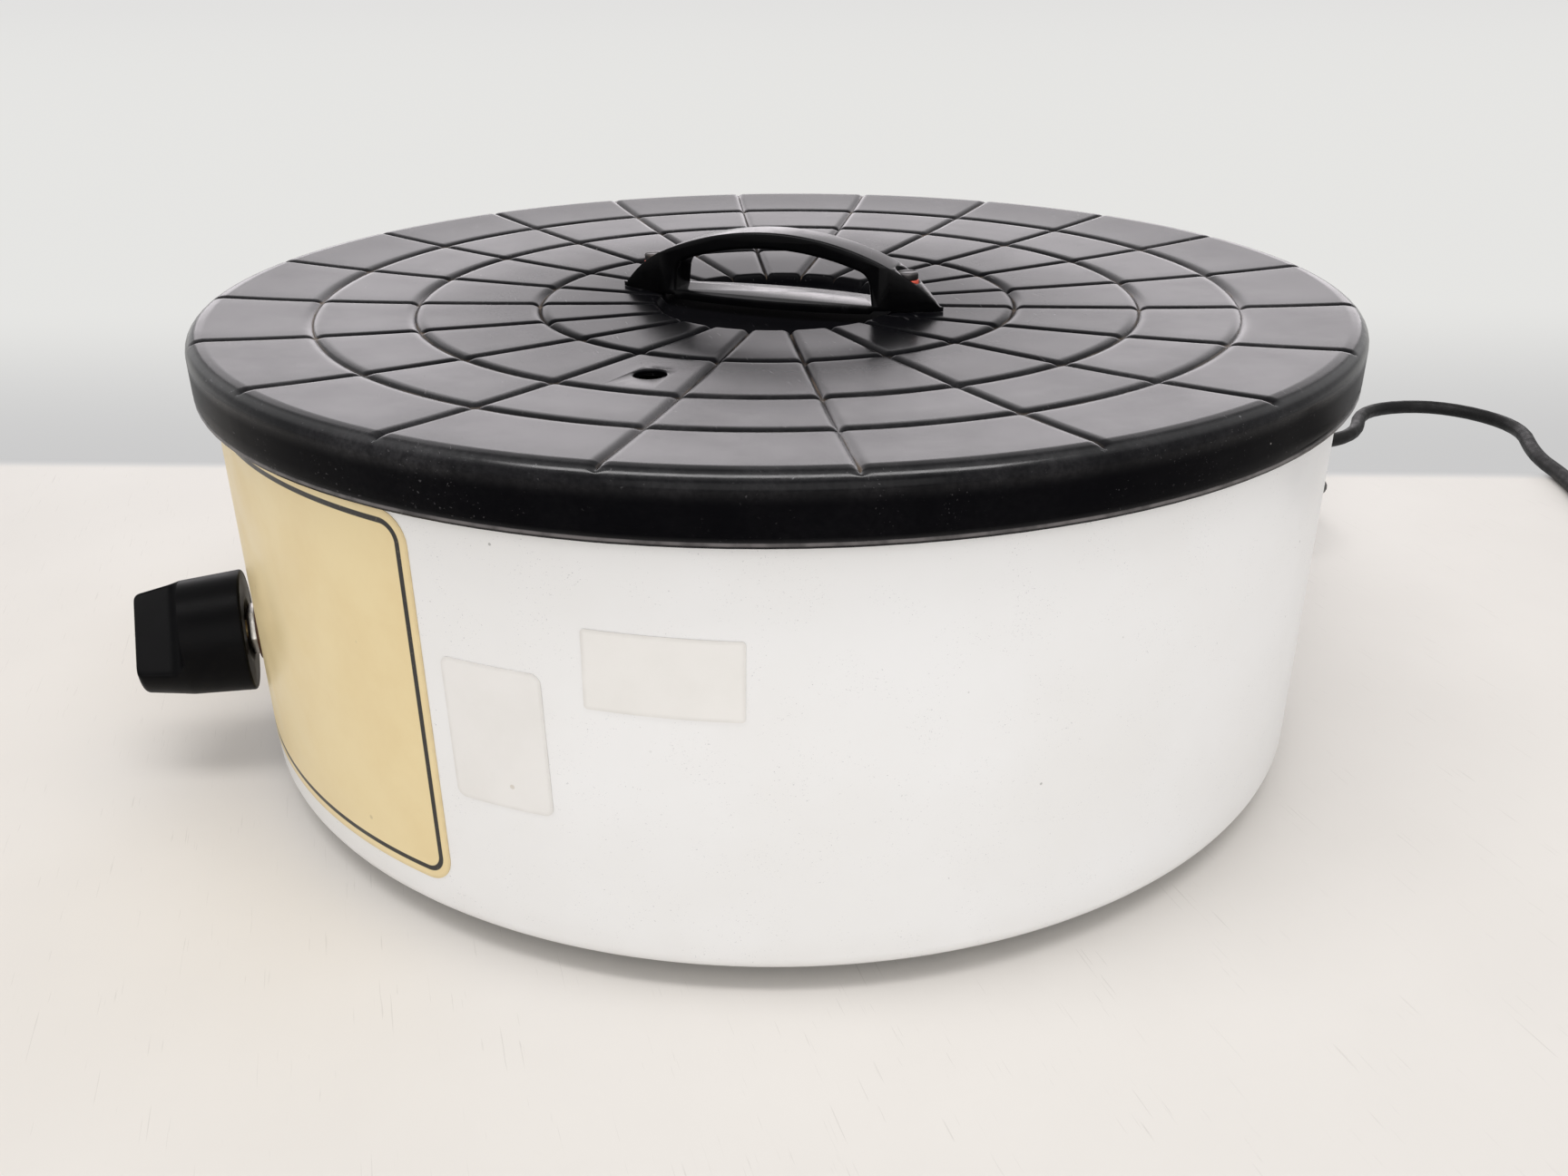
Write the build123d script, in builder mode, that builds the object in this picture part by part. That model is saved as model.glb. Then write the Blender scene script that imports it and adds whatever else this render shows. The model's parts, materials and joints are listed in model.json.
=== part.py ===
from build123d import *
import os
from math import cos, pi, radians, sin, sqrt, tan

# Tissue flotation bath: a round heated water bath with a patterned lift-off lid.
# Millimetres, +Z up, the table at Z = 0, the bath's axis on Z, the front with its knob towards -Y.

# Driving dimensions: casing and base
casing_radius = 170.0
casing_wall = 1.5
casing_edge = 5.0                  # bend at the top and bottom of the drum
casing_lip = 14.0                  # how far the drum's ends turn inwards, from its outside
casing_bottom = 5.5
base_thickness = 1.5
base_rim = casing_bottom - base_thickness    # underside of the base plate's rim, which lies below the drum's lip
foot_height = 7.0                            # underside of the base plate's raised middle, with the feet
base_top = foot_height + base_thickness
casing_top = 128.5
screw_radius = 2.0                 # M4
screw_clearance = 0.2
fixing_circle = 159.5              # screws that hold the base plate to the drum
foot_circle = 136.0

# Driving dimensions: lid
lid_radius = 175.0
lid_sheet = 2.0
lid_edge = 3.2                     # bend between the top and the skirt
skirt_depth = 15.5
rim_height = 136.9                 # bottom of the grooves where they run out over the rim
rim_circle = 171.4
lid_sag = 7.1                      # the top is a shallow dish, this much lower at its middle
groove_depth = 1.6
groove_width = 3.4
ring_circles = (74.7, 111.9, 140.9)
pad_circle = 166.0                 # outer edge of the last ring of pads, which slope from here to the rim
rim_rise = 0.2                     # the rim above the groove bottoms
spoke_count = 20
recess_radius = 38.6
recess_floor_radius = 36.0
recess_depth = 3.0
vent_circle = 94.5
vent_radius = 4.3
vent_turn = -89.0                  # of the vent, from the handle's direction
lid_turn = 51.4                    # direction of the handle in plan, as the round lid happens to sit

# Driving dimensions: handle on the lid
handle_half = 54.4
handle_half_width = 10.8           # of the boat-shaped foot plate, at its middle
strap_width = 12.6
arch_height = 16.6                 # top of the strap above the rim height
arch_shoulder = (35.0, 9.8)        # where the flat arch turns down into the legs
opening_half = 33.0
opening_height = 13.3              # underside of the strap above the rim height
opening_corner = 5.0
handle_screw_spread = 42.6

# Driving dimensions: bowl and heater
bowl_floor = 72.0                  # water side of the bowl's floor
bowl_wall = 3.0
bowl_floor_radius = 117.0
bowl_mouth_radius = 131.0
bowl_flange_radius = 167.0
seal_thickness = 1.0
heater_inner, heater_outer = 42.0, 112.0
stud_circle = 80.0
stud_count = 3

# Driving dimensions: control, labels and lead
knob_height = 41.5                 # spindle axis above the table
knob_lean = 142.0                  # direction of the grip's pointer end, seen from the front
spindle_radius = 3.0
bush_radius = 4.9
label_half_angle = 43.3
label_bottom, label_top = 16.5, 119.0
label_film = 0.2
lamp_angle = 242.0
lead_radius = 3.5
lead_height = 34.0                 # of the lead's exit at the back
lead_angle = 94.0                  # direction of the lead's exit in plan
relief_end_radius = 5.0
knob_front = 205.5                 # how far the knob stands forward of the bath's axis
relief_front = (knob_front + relief_end_radius * cos(radians(lead_angle))) / sin(radians(lead_angle))

os.makedirs("parts", exist_ok=True)


def direction(angle):
    """The level unit vector at an angle in plan."""
    return (cos(radians(angle)), sin(radians(angle)), 0)


def upright(angle):
    """The vertical plane through the bath's axis, with x outwards at the angle and y up."""
    return Plane(origin=(0, 0, 0), x_dir=direction(angle), z_dir=direction(angle - 90))


def facing(angle, distance, height):
    """A plane that looks straight out from the drum, with x to the right and y up."""
    out = Vector(*direction(angle))
    return Plane(origin=(out * distance) + Vector(0, 0, height), x_dir=direction(angle + 90), z_dir=out)


front = facing(270, 0, knob_height)
rear = facing(lead_angle, 0, lead_height)


# Drum casing: one deep sheet-metal ring with both ends turned inwards
flange_inner = casing_radius - casing_lip
bush_hole = bush_radius + 0.3
lamp_hole = 5.2
relief_hole = 8.2
with BuildPart() as casing:
    with BuildSketch(Plane.XZ):
        with Locations((0, casing_bottom)):
            Rectangle(casing_radius, casing_top - casing_bottom, align=Align.MIN)
        fillet(vertices().sort_by(Axis.X)[-2:], radius=casing_edge)
        offset(amount=-casing_wall, kind=Kind.ARC, mode=Mode.SUBTRACT)
        Rectangle(flange_inner, casing_top + 1, align=Align.MIN, mode=Mode.SUBTRACT)
    revolve(axis=Axis.Z)
    with BuildSketch(Plane.XY.offset(casing_bottom)):
        with PolarLocations(fixing_circle, 4):
            Circle(screw_radius)
    extrude(amount=casing_wall, mode=Mode.SUBTRACT)
    with BuildSketch(facing(270, casing_radius - 5, knob_height)):
        Circle(bush_hole)
    extrude(amount=10, mode=Mode.SUBTRACT)
    with BuildSketch(facing(lamp_angle, casing_radius - 5, knob_height)):
        Circle(lamp_hole)
    extrude(amount=10, mode=Mode.SUBTRACT)
    with BuildSketch(rear.offset(casing_radius - 5)):
        Circle(relief_hole)
    extrude(amount=10, mode=Mode.SUBTRACT)
casing.part.label = "casing"
export_step(casing.part, "parts/casing.step")


# Base plate: a disc whose rim lies under the drum's lip and whose middle is pressed up through it,
# with a stiffening ring and radial air slots
plate_radius = casing_radius - casing_edge - 1.5
step_radius = flange_inner - 2.0   # where the raised middle begins
swage_inner, swage_outer, swage_rise = 64.0, 86.0, 1.5
slot_circle, slot_length, slot_width, slot_count = 106.0, 30.0, 4.0, 12
earth_place = (62.0, 104.0)
earth_radius = 2.0
with BuildPart() as base_plate:
    with BuildSketch(Plane.XZ):
        with BuildLine():
            Polyline(
                (0, foot_height), (swage_inner, foot_height),
                (swage_inner + 2, foot_height + swage_rise), (swage_outer - 2, foot_height + swage_rise),
                (swage_outer, foot_height), (step_radius - 4, foot_height), (step_radius - 1, base_rim),
                (plate_radius, base_rim), (plate_radius, casing_bottom), (step_radius - 0.4, casing_bottom),
                (step_radius - 3.4, base_top), (swage_outer + 0.6, base_top),
                (swage_outer - 1.4, base_top + swage_rise), (swage_inner + 1.4, base_top + swage_rise),
                (swage_inner - 0.6, base_top), (0, base_top), close=True,
            )
        make_face()
    revolve(axis=Axis.Z)
    with BuildSketch(Plane.XY.offset(foot_height)):
        with PolarLocations(slot_circle, slot_count, start_angle=15):
            SlotOverall(slot_length, slot_width)
        with PolarLocations(foot_circle, 4, start_angle=45):
            Circle(screw_radius + screw_clearance)
        with Locations(earth_place):
            Circle(earth_radius + 0.1)
    extrude(amount=base_thickness, mode=Mode.SUBTRACT)
    with BuildSketch(Plane.XY.offset(base_rim)):
        with PolarLocations(fixing_circle, 4):
            Circle(screw_radius + screw_clearance)
    extrude(amount=base_thickness, mode=Mode.SUBTRACT)
base_plate.part.label = "base_plate"
export_step(base_plate.part, "parts/base_plate.step")


# Four rubber feet, recessed from below for their screws
foot_top_radius, foot_bottom_radius = 12.5, 10.5
foot_recess_radius, foot_recess_depth = 4.4, 4.0
with BuildPart() as feet:
    with PolarLocations(foot_circle, 4, start_angle=45):
        Cone(foot_bottom_radius, foot_top_radius, foot_height, align=(Align.CENTER, Align.CENTER, Align.MIN))
    with BuildSketch():
        with PolarLocations(foot_circle, 4, start_angle=45):
            Circle(foot_recess_radius)
    extrude(amount=foot_recess_depth, mode=Mode.SUBTRACT)
    with BuildSketch():
        with PolarLocations(foot_circle, 4, start_angle=45):
            Circle(screw_radius + screw_clearance)
    extrude(amount=foot_height, mode=Mode.SUBTRACT)
feet.part.label = "feet"
export_step(feet.part, "parts/feet.step")


# Foot screws, up through the feet and the base plate into nuts
pan_head_radius, pan_head_height = 3.6, 2.4
with BuildPart() as foot_screws:
    with BuildSketch(Plane.XY.offset(foot_recess_depth - pan_head_height)):
        with PolarLocations(foot_circle, 4, start_angle=45):
            Circle(pan_head_radius)
    extrude(amount=pan_head_height)
    fillet(foot_screws.edges().filter_by(GeomType.CIRCLE).group_by(Axis.Z)[0], radius=0.8)
    with BuildSketch(Plane.XY.offset(foot_recess_depth)):
        with PolarLocations(foot_circle, 4, start_angle=45):
            Circle(screw_radius)
    extrude(amount=base_top + 4.5 - foot_recess_depth)
foot_screws.part.label = "foot_screws"
export_step(foot_screws.part, "parts/foot_screws.step")

nut_flats, nut_height = 7.0, 3.2
with BuildPart() as foot_nuts:
    with BuildSketch(Plane.XY.offset(base_top)):
        with PolarLocations(foot_circle, 4, start_angle=45):
            RegularPolygon(nut_flats / 2, 6, major_radius=False)
            Circle(screw_radius, mode=Mode.SUBTRACT)
    extrude(amount=nut_height)
foot_nuts.part.label = "foot_nuts"
export_step(foot_nuts.part, "parts/foot_nuts.step")


# Four screws that hold the base plate up against the drum's turned-in lip
with BuildPart() as base_screws:
    with BuildSketch(Plane.XY.offset(base_rim - pan_head_height)):
        with PolarLocations(fixing_circle, 4):
            Circle(pan_head_radius)
    extrude(amount=pan_head_height)
    fillet(base_screws.edges().filter_by(GeomType.CIRCLE).group_by(Axis.Z)[0], radius=0.8)
    with BuildSketch(Plane.XY.offset(base_rim)):
        with PolarLocations(fixing_circle, 4):
            Circle(screw_radius)
    extrude(amount=base_thickness + casing_wall + 3.5)
base_screws.part.label = "base_screws"
export_step(base_screws.part, "parts/base_screws.step")


# Water bowl: a deep dish whose wide flange slopes back to the water and ends in a raised bead
flange_seat = casing_top + seal_thickness
bead_top = 134.2
bead_width = 2.5
mouth_height = 128.0
with BuildPart() as bowl:
    with BuildSketch(Plane.XZ):
        with BuildLine():
            Polyline(
                (0, bowl_floor), (bowl_floor_radius, bowl_floor), (bowl_mouth_radius, mouth_height),
                (bowl_flange_radius - bead_width - 1.5, mouth_height + 4.2), (bowl_flange_radius - bead_width, bead_top),
                (bowl_flange_radius, bead_top), (bowl_flange_radius, flange_seat),
                (flange_inner + 1, flange_seat), (bowl_mouth_radius + bowl_wall + 0.5, mouth_height - 3.0),
                (bowl_floor_radius + bowl_wall - 0.5, bowl_floor - bowl_wall), (0, bowl_floor - bowl_wall), close=True,
            )
        make_face()
        water_corner = vertices().sort_by_distance((bowl_floor_radius, bowl_floor))[0]
        fillet(water_corner, radius=12)
        under_corner = vertices().sort_by_distance((bowl_floor_radius + bowl_wall - 0.5, bowl_floor - bowl_wall))[0]
        fillet(under_corner, radius=14)
        mouth_corner = vertices().sort_by_distance((bowl_mouth_radius, mouth_height))[0]
        fillet(mouth_corner, radius=5)
        fillet(vertices().group_by(Axis.Y)[-1], radius=1.1)
    revolve(axis=Axis.Z)
bowl.part.label = "bowl"
export_step(bowl.part, "parts/bowl.step")

with BuildPart() as bowl_seal:
    with BuildSketch(Plane.XY.offset(casing_top)):
        Circle(casing_radius - casing_edge)
        Circle(flange_inner + 2, mode=Mode.SUBTRACT)
    extrude(amount=seal_thickness)
bowl_seal.part.label = "bowl_seal"
export_step(bowl_seal.part, "parts/bowl_seal.step")


# Heating element: a flat mica ring under the bowl's floor, pressed up by a plate on three studs
element_thickness, plate_thickness = 2.0, 1.5
element_top = bowl_floor - bowl_wall
plate_top = element_top - element_thickness
stud_hole = screw_radius + 0.3
with BuildPart() as heating_element:
    with BuildSketch(Plane.XY.offset(plate_top)):
        Circle(heater_outer)
        Circle(heater_inner, mode=Mode.SUBTRACT)
        with PolarLocations(stud_circle, stud_count, start_angle=90):
            Circle(stud_hole, mode=Mode.SUBTRACT)
    extrude(amount=element_thickness)
heating_element.part.label = "heating_element"
export_step(heating_element.part, "parts/heating_element.step")

with BuildPart() as clamp_plate:
    with BuildSketch(Plane.XY.offset(plate_top - plate_thickness)):
        Circle(heater_outer + 3)
        Circle(heater_inner - 3, mode=Mode.SUBTRACT)
        with PolarLocations(stud_circle, stud_count, start_angle=90):
            Circle(stud_hole, mode=Mode.SUBTRACT)
    extrude(amount=plate_thickness)
clamp_plate.part.label = "clamp_plate"
export_step(clamp_plate.part, "parts/clamp_plate.step")

with BuildPart() as heater_studs:
    with BuildSketch(Plane.XY.offset(plate_top - plate_thickness - 6)):
        with PolarLocations(stud_circle, stud_count, start_angle=90):
            Circle(screw_radius)
    extrude(amount=element_thickness + plate_thickness + 6)
heater_studs.part.label = "heater_studs"
export_step(heater_studs.part, "parts/heater_studs.step")

with BuildPart() as heater_nuts:
    with BuildSketch(Plane.XY.offset(plate_top - plate_thickness - nut_height)):
        with PolarLocations(stud_circle, stud_count, start_angle=90):
            RegularPolygon(nut_flats / 2, 6, major_radius=False)
            Circle(screw_radius, mode=Mode.SUBTRACT)
    extrude(amount=nut_height)
heater_nuts.part.label = "heater_nuts"
export_step(heater_nuts.part, "parts/heater_nuts.step")


# Glass-fibre blanket between the bowl's wall and the drum
blanket_inner, blanket_outer = 137.5, 162.0
blanket_bottom, blanket_top = 76.0, 121.0
with BuildPart() as insulation:
    with BuildSketch(Plane.XZ):
        with Locations((blanket_inner, blanket_bottom)):
            Rectangle(blanket_outer - blanket_inner, blanket_top - blanket_bottom, align=Align.MIN)
        fillet(vertices(), radius=6)
    revolve(axis=Axis.Z)
insulation.part.label = "insulation"
export_step(insulation.part, "parts/insulation.step")


# Over-temperature cut-out: a small bimetal disc thermostat under the clamp plate
cutout_place = (-78.0, 12.0)
cutout_top = plate_top - plate_thickness
with BuildPart() as thermal_cutout:
    with BuildSketch(Plane.XY.offset(cutout_top - 7)):
        with Locations(cutout_place):
            Circle(8)
    extrude(amount=7)
    with BuildSketch(Plane.XY.offset(cutout_top - 14)):
        with Locations((cutout_place[0] - 4, cutout_place[1]), (cutout_place[0] + 4, cutout_place[1])):
            Rectangle(0.8, 6.3)
    extrude(amount=7)
thermal_cutout.part.label = "thermal_cutout"
export_step(thermal_cutout.part, "parts/thermal_cutout.step")


# Capillary sensor: a liquid-filled bulb under the middle of the bowl, with its thin tube to the thermostat
bulb_radius, bulb_length = 3.0, 62.0
bulb_height = element_top - bulb_radius - 0.1
capillary_radius = 0.9
thermostat_back = -136.0
capillary_end = (9.0, thermostat_back, knob_height + 8)
with BuildPart() as sensor:
    with BuildSketch(Plane.YZ.offset(-bulb_length / 2)):
        with Locations((0, bulb_height)):
            Circle(bulb_radius)
    extrude(amount=bulb_length)
    fillet(sensor.edges().filter_by(GeomType.CIRCLE), radius=1.2)
    with BuildLine() as capillary:
        FilletPolyline(
            (bulb_length / 2 - 1, 0, bulb_height), (bulb_length / 2 + 9, -4, bulb_height - 5),
            (46, -34, bulb_height - 6), (24, -92, bulb_height - 9),
            (capillary_end[0], capillary_end[1] + 20, capillary_end[2]), capillary_end,
            radius=7,
        )
    with BuildSketch(Plane(capillary.line @ 0, z_dir=capillary.line % 0)):
        Circle(capillary_radius)
    sweep(path=capillary.line)
sensor.part.label = "sensor"
export_step(sensor.part, "parts/sensor.step")

# Strap that holds the bulb up against the bowl: a shallow hat section with its ends on the clamp plate
strap_thickness, clip_width = 1.2, 12.0
clip_top = cutout_top
clip_low = bulb_height - bulb_radius
with BuildPart() as bulb_clip:
    with BuildSketch(Plane.YZ.offset(-clip_width / 2)):
        with BuildLine():
            Polyline(
                (-50, clip_top), (-40, clip_top), (-34, clip_low), (34, clip_low), (40, clip_top), (50, clip_top),
                (50, clip_top - strap_thickness), (40.5, clip_top - strap_thickness),
                (34.5, clip_low - strap_thickness), (-34.5, clip_low - strap_thickness),
                (-40.5, clip_top - strap_thickness), (-50, clip_top - strap_thickness), close=True,
            )
        make_face()
    extrude(amount=clip_width)
bulb_clip.part.label = "bulb_clip"
export_step(bulb_clip.part, "parts/bulb_clip.step")


# Thermostat behind the front wall, clamped there by the nut on its threaded bush
body_half_width, body_half_height = 19.0, 18.5
body_front = 166.0
boss_front = 168.2
bush_front = 173.7
bore_depth = 155.0                 # how far in the spindle's bore reaches, as a distance from the axis
with BuildPart() as thermostat:
    with BuildSketch(front.offset(-thermostat_back)):
        RectangleRounded(2 * body_half_width, 2 * body_half_height, 3)
    extrude(amount=body_front + thermostat_back)
    with BuildSketch(front.offset(body_front)):
        Circle(9)
    extrude(amount=boss_front - body_front)
    with BuildSketch(front.offset(boss_front)):
        Circle(bush_radius)
    extrude(amount=bush_front - boss_front)
    with BuildSketch(front.offset(bore_depth)):
        Circle(spindle_radius + 0.06)
    extrude(amount=bush_front - bore_depth, mode=Mode.SUBTRACT)
    with BuildSketch(front.offset(-thermostat_back - 8)):
        with Locations((-10, -6), (-10, 6), (2, -10)):
            Rectangle(6.3, 0.8)
    extrude(amount=8)
thermostat.part.label = "thermostat"
export_step(thermostat.part, "parts/thermostat.step")

washer_back, washer_front = casing_radius + label_film + 0.05, casing_radius + 0.95
with BuildPart() as bush_washer:
    with BuildSketch(front.offset(washer_back)):
        Circle(9.5)
        Circle(bush_radius + 0.1, mode=Mode.SUBTRACT)
    extrude(amount=washer_front - washer_back)
bush_washer.part.label = "bush_washer"
export_step(bush_washer.part, "parts/bush_washer.step")

with BuildPart() as bush_nut:
    with BuildSketch(front.offset(washer_front)):
        RegularPolygon(7, 6, major_radius=False)
        Circle(bush_radius, mode=Mode.SUBTRACT)
    extrude(amount=2.3)
    chamfer(bush_nut.faces().sort_by(Axis.Y)[0].outer_wire().edges(), length=0.4)
bush_nut.part.label = "bush_nut"
export_step(bush_nut.part, "parts/bush_nut.step")


# Control knob: a drafted round skirt that turns into a bar grip, hollow at the back round the nut
knob_back, knob_shoulder = 173.2, 191.5
knob_back_radius, knob_shoulder_radius, knob_front_radius = 19.0, 17.7, 15.1
grip_half_root, grip_half_front = 7.0, 6.2
knob_axis = Axis((0, 0, knob_height), (0, -1, 0))
knob_side = Plane(origin=(0, 0, knob_height), x_dir=(0, -1, 0), z_dir=(-1, 0, 0))
lean_side = radians(knob_lean - 90)
grip_plane = Plane(origin=(0, 0, knob_height), x_dir=(0, -1, 0), z_dir=(-sin(lean_side), 0, cos(lean_side)))
insert_radius, insert_back, insert_front = 5.0, 176.4, 197.0
pointer_width, pointer_depth, pointer_start, pointer_end = 1.4, 0.5, 5.5, 13.0
grub_radius, grub_distance = 2.0, 186.0
grub_out = Vector(cos(radians(knob_lean + 180)), 0, sin(radians(knob_lean + 180)))
grub_plane = Plane(origin=(0, -grub_distance, knob_height), x_dir=(0, -1, 0), z_dir=grub_out)
with BuildPart() as control_knob:
    with BuildSketch(knob_side):
        with BuildLine():
            Polyline(
                (knob_back, 0), (knob_back, knob_back_radius), (knob_shoulder, knob_shoulder_radius),
                (knob_front, knob_front_radius), (knob_front, 0), close=True,
            )
        make_face()
        fillet(vertices().sort_by_distance((knob_front, knob_front_radius))[0], radius=2.2)
        fillet(vertices().sort_by_distance((knob_back, knob_back_radius))[0], radius=0.6)
    revolve(axis=knob_axis)
    with BuildSketch(grip_plane):
        with BuildLine():
            Polyline(
                (knob_shoulder, grip_half_root), (knob_front + 2, grip_half_front), (knob_front + 2, 26),
                (knob_shoulder, 26), close=True,
            )
        make_face()
        fillet(vertices().sort_by_distance((knob_shoulder, grip_half_root))[0], radius=4.5)
        mirror(about=Plane.XZ)
    extrude(amount=26, both=True, mode=Mode.SUBTRACT)
    with BuildSketch(front.offset(knob_back)):
        Circle(14)
        Circle(8.5, mode=Mode.SUBTRACT)
    extrude(amount=9, mode=Mode.SUBTRACT)
    with BuildSketch(front.offset(knob_back)):
        Circle(10)
    extrude(amount=insert_back - knob_back, mode=Mode.SUBTRACT)
    with BuildSketch(front.offset(insert_back)):
        Circle(insert_radius)
    extrude(amount=insert_front - insert_back, mode=Mode.SUBTRACT)
    with BuildSketch(front.offset(knob_front - pointer_depth)):
        with PolarLocations((pointer_start + pointer_end) / 2, 1, start_angle=knob_lean):
            Rectangle(pointer_end - pointer_start, pointer_width)
    extrude(amount=pointer_depth, mode=Mode.SUBTRACT)
    with BuildSketch(grub_plane):
        Circle(grub_radius)
    extrude(amount=knob_back_radius + 1, mode=Mode.SUBTRACT)
control_knob.part.label = "control_knob"
export_step(control_knob.part, "parts/control_knob.step")

with BuildPart() as pointer_line:
    with BuildSketch(front.offset(knob_front - pointer_depth)):
        with PolarLocations((pointer_start + pointer_end) / 2, 1, start_angle=knob_lean):
            Rectangle(pointer_end - pointer_start, pointer_width)
    extrude(amount=pointer_depth)
pointer_line.part.label = "pointer_line"
export_step(pointer_line.part, "parts/pointer_line.step")


# Spindle with a flat for the grub screw, running in the thermostat's bush
flat_depth = 0.8
spindle_back, spindle_front = 156.0, 196.0
with BuildPart() as spindle:
    with BuildSketch(front.offset(spindle_back)):
        Circle(spindle_radius)
    extrude(amount=spindle_front - spindle_back)
    with BuildSketch(grub_plane.offset(spindle_radius - flat_depth)):
        Rectangle(2 * (spindle_front - grub_distance), 2 * spindle_radius)
    extrude(amount=flat_depth, mode=Mode.SUBTRACT)
spindle.part.label = "spindle"
export_step(spindle.part, "parts/spindle.step")

# Brass insert moulded into the knob, bored for the spindle, with the grub screw in its side
with BuildPart() as knob_insert:
    with BuildSketch(front.offset(insert_back)):
        Circle(insert_radius)
        Circle(spindle_radius, mode=Mode.SUBTRACT)
    extrude(amount=insert_front - insert_back)
    with BuildSketch(grub_plane):
        Circle(grub_radius)
    extrude(amount=insert_radius + 1, mode=Mode.SUBTRACT)
knob_insert.part.label = "knob_insert"
export_step(knob_insert.part, "parts/knob_insert.step")

with BuildPart() as grub_screw:
    with BuildSketch(grub_plane.offset(spindle_radius - flat_depth)):
        Circle(grub_radius)
    extrude(amount=6)
    with BuildSketch(grub_plane.offset(spindle_radius - flat_depth + 4.5)):
        Rectangle(2 * grub_radius, 0.7)
    extrude(amount=2, mode=Mode.SUBTRACT)
grub_screw.part.label = "grub_screw"
export_step(grub_screw.part, "parts/grub_screw.step")


# Neon pilot lamp: a black holder through the wall with a domed lens
lamp = facing(lamp_angle, 0, knob_height)
holder_front = casing_radius + 2.2
with BuildPart() as pilot_holder:
    with BuildSketch(lamp.offset(casing_radius - 20)):
        Circle(lamp_hole - 0.2)
    extrude(amount=20 + label_film + 0.1)
    with BuildSketch(lamp.offset(casing_radius + label_film + 0.1)):
        Circle(7)
    extrude(amount=holder_front - casing_radius - label_film - 0.1)
    fillet(pilot_holder.faces().sort_by_distance(lamp.offset(holder_front).origin)[0].edges(), radius=0.8)
pilot_holder.part.label = "pilot_holder"
export_step(pilot_holder.part, "parts/pilot_holder.step")

with BuildPart() as pilot_lens:
    with BuildSketch(lamp.offset(holder_front)):
        Circle(4.2)
    extrude(amount=2.6)
    fillet(pilot_lens.faces().sort_by_distance(lamp.offset(holder_front + 2.6).origin)[0].edges(), radius=1.8)
pilot_lens.part.label = "pilot_lens"
export_step(pilot_lens.part, "parts/pilot_lens.step")


# Front label: a film wrapped round the front of the drum, with holes for the bush and the lamp
label_height = label_top - label_bottom
with BuildPart() as fascia_label:
    with BuildSketch(Plane.XY.offset(label_bottom)):
        Circle(casing_radius + label_film)
        Circle(casing_radius, mode=Mode.SUBTRACT)
    extrude(amount=label_height)
    with BuildSketch(facing(270, 0, (label_bottom + label_top) / 2)):
        RectangleRounded(2 * casing_radius * sin(radians(label_half_angle)), label_height, 8)
    extrude(amount=casing_radius + 1, mode=Mode.INTERSECT)
    with BuildSketch(facing(270, casing_radius - 5, knob_height)):
        Circle(bush_hole)
    extrude(amount=10, mode=Mode.SUBTRACT)
    with BuildSketch(facing(lamp_angle, casing_radius - 5, knob_height)):
        Circle(lamp_hole)
    extrude(amount=10, mode=Mode.SUBTRACT)
fascia_label.part.label = "fascia_label"
export_step(fascia_label.part, "parts/fascia_label.step")


# Two small blank stickers on the side
with BuildPart() as upright_sticker:
    with BuildSketch(Plane.XY.offset(40)):
        Circle(casing_radius + label_film)
        Circle(casing_radius, mode=Mode.SUBTRACT)
    extrude(amount=60)
    with BuildSketch(facing(319.8, 0, 65.75)):
        RectangleRounded(27.0, 38.5, 2.5, rotation=0.5)
    extrude(amount=casing_radius + 1, mode=Mode.INTERSECT)
upright_sticker.part.label = "upright_sticker"
export_step(upright_sticker.part, "parts/upright_sticker.step")

with BuildPart() as level_sticker:
    with BuildSketch(Plane.XY.offset(60)):
        Circle(casing_radius + label_film)
        Circle(casing_radius, mode=Mode.SUBTRACT)
    extrude(amount=60)
    with BuildSketch(facing(334.1, 0, 87.85)):
        RectangleRounded(37.0, 20.3, 1.0, rotation=-1.3)
    extrude(amount=casing_radius + 1, mode=Mode.INTERSECT)
level_sticker.part.label = "level_sticker"
export_step(level_sticker.part, "parts/level_sticker.step")


# Mains terminal block inside the back, three ways, with a screw each side of every way
block_place, block_length, way_pitch = 112.0, 34.0, 11.0
with BuildPart() as terminal_block:
    with BuildSketch(Plane.YZ.offset(-block_length / 2)):
        with Locations((block_place, base_top)):
            Rectangle(22, 8, align=(Align.CENTER, Align.MIN))
            Rectangle(13, 16, align=(Align.CENTER, Align.MIN))
        fillet(vertices().group_by(Axis.Y)[-1], radius=1.5)
    extrude(amount=block_length)
    with BuildSketch(Plane.XY.offset(base_top + 10)):
        with Locations((-way_pitch / 2, block_place), (way_pitch / 2, block_place)):
            Rectangle(1.6, 24)
    extrude(amount=10, mode=Mode.SUBTRACT)
    with BuildSketch(Plane.XZ.offset(-block_place - 12)):
        with Locations((-way_pitch, base_top + 5), (0, base_top + 5), (way_pitch, base_top + 5)):
            Circle(1.8)
    extrude(amount=24, mode=Mode.SUBTRACT)
    with BuildSketch(Plane.XY.offset(base_top + 9)):
        with GridLocations(way_pitch, 7, 3, 2):
            with Locations((0, block_place)):
                Circle(1.6)
    extrude(amount=8, mode=Mode.SUBTRACT)
terminal_block.part.label = "terminal_block"
export_step(terminal_block.part, "parts/terminal_block.step")

with BuildPart() as terminal_screws:
    with BuildSketch(Plane.XY.offset(base_top + 9)):
        with GridLocations(way_pitch, 7, 3, 2):
            with Locations((0, block_place)):
                Circle(1.55)
    extrude(amount=5)
terminal_screws.part.label = "terminal_screws"
export_step(terminal_screws.part, "parts/terminal_screws.step")

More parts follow.
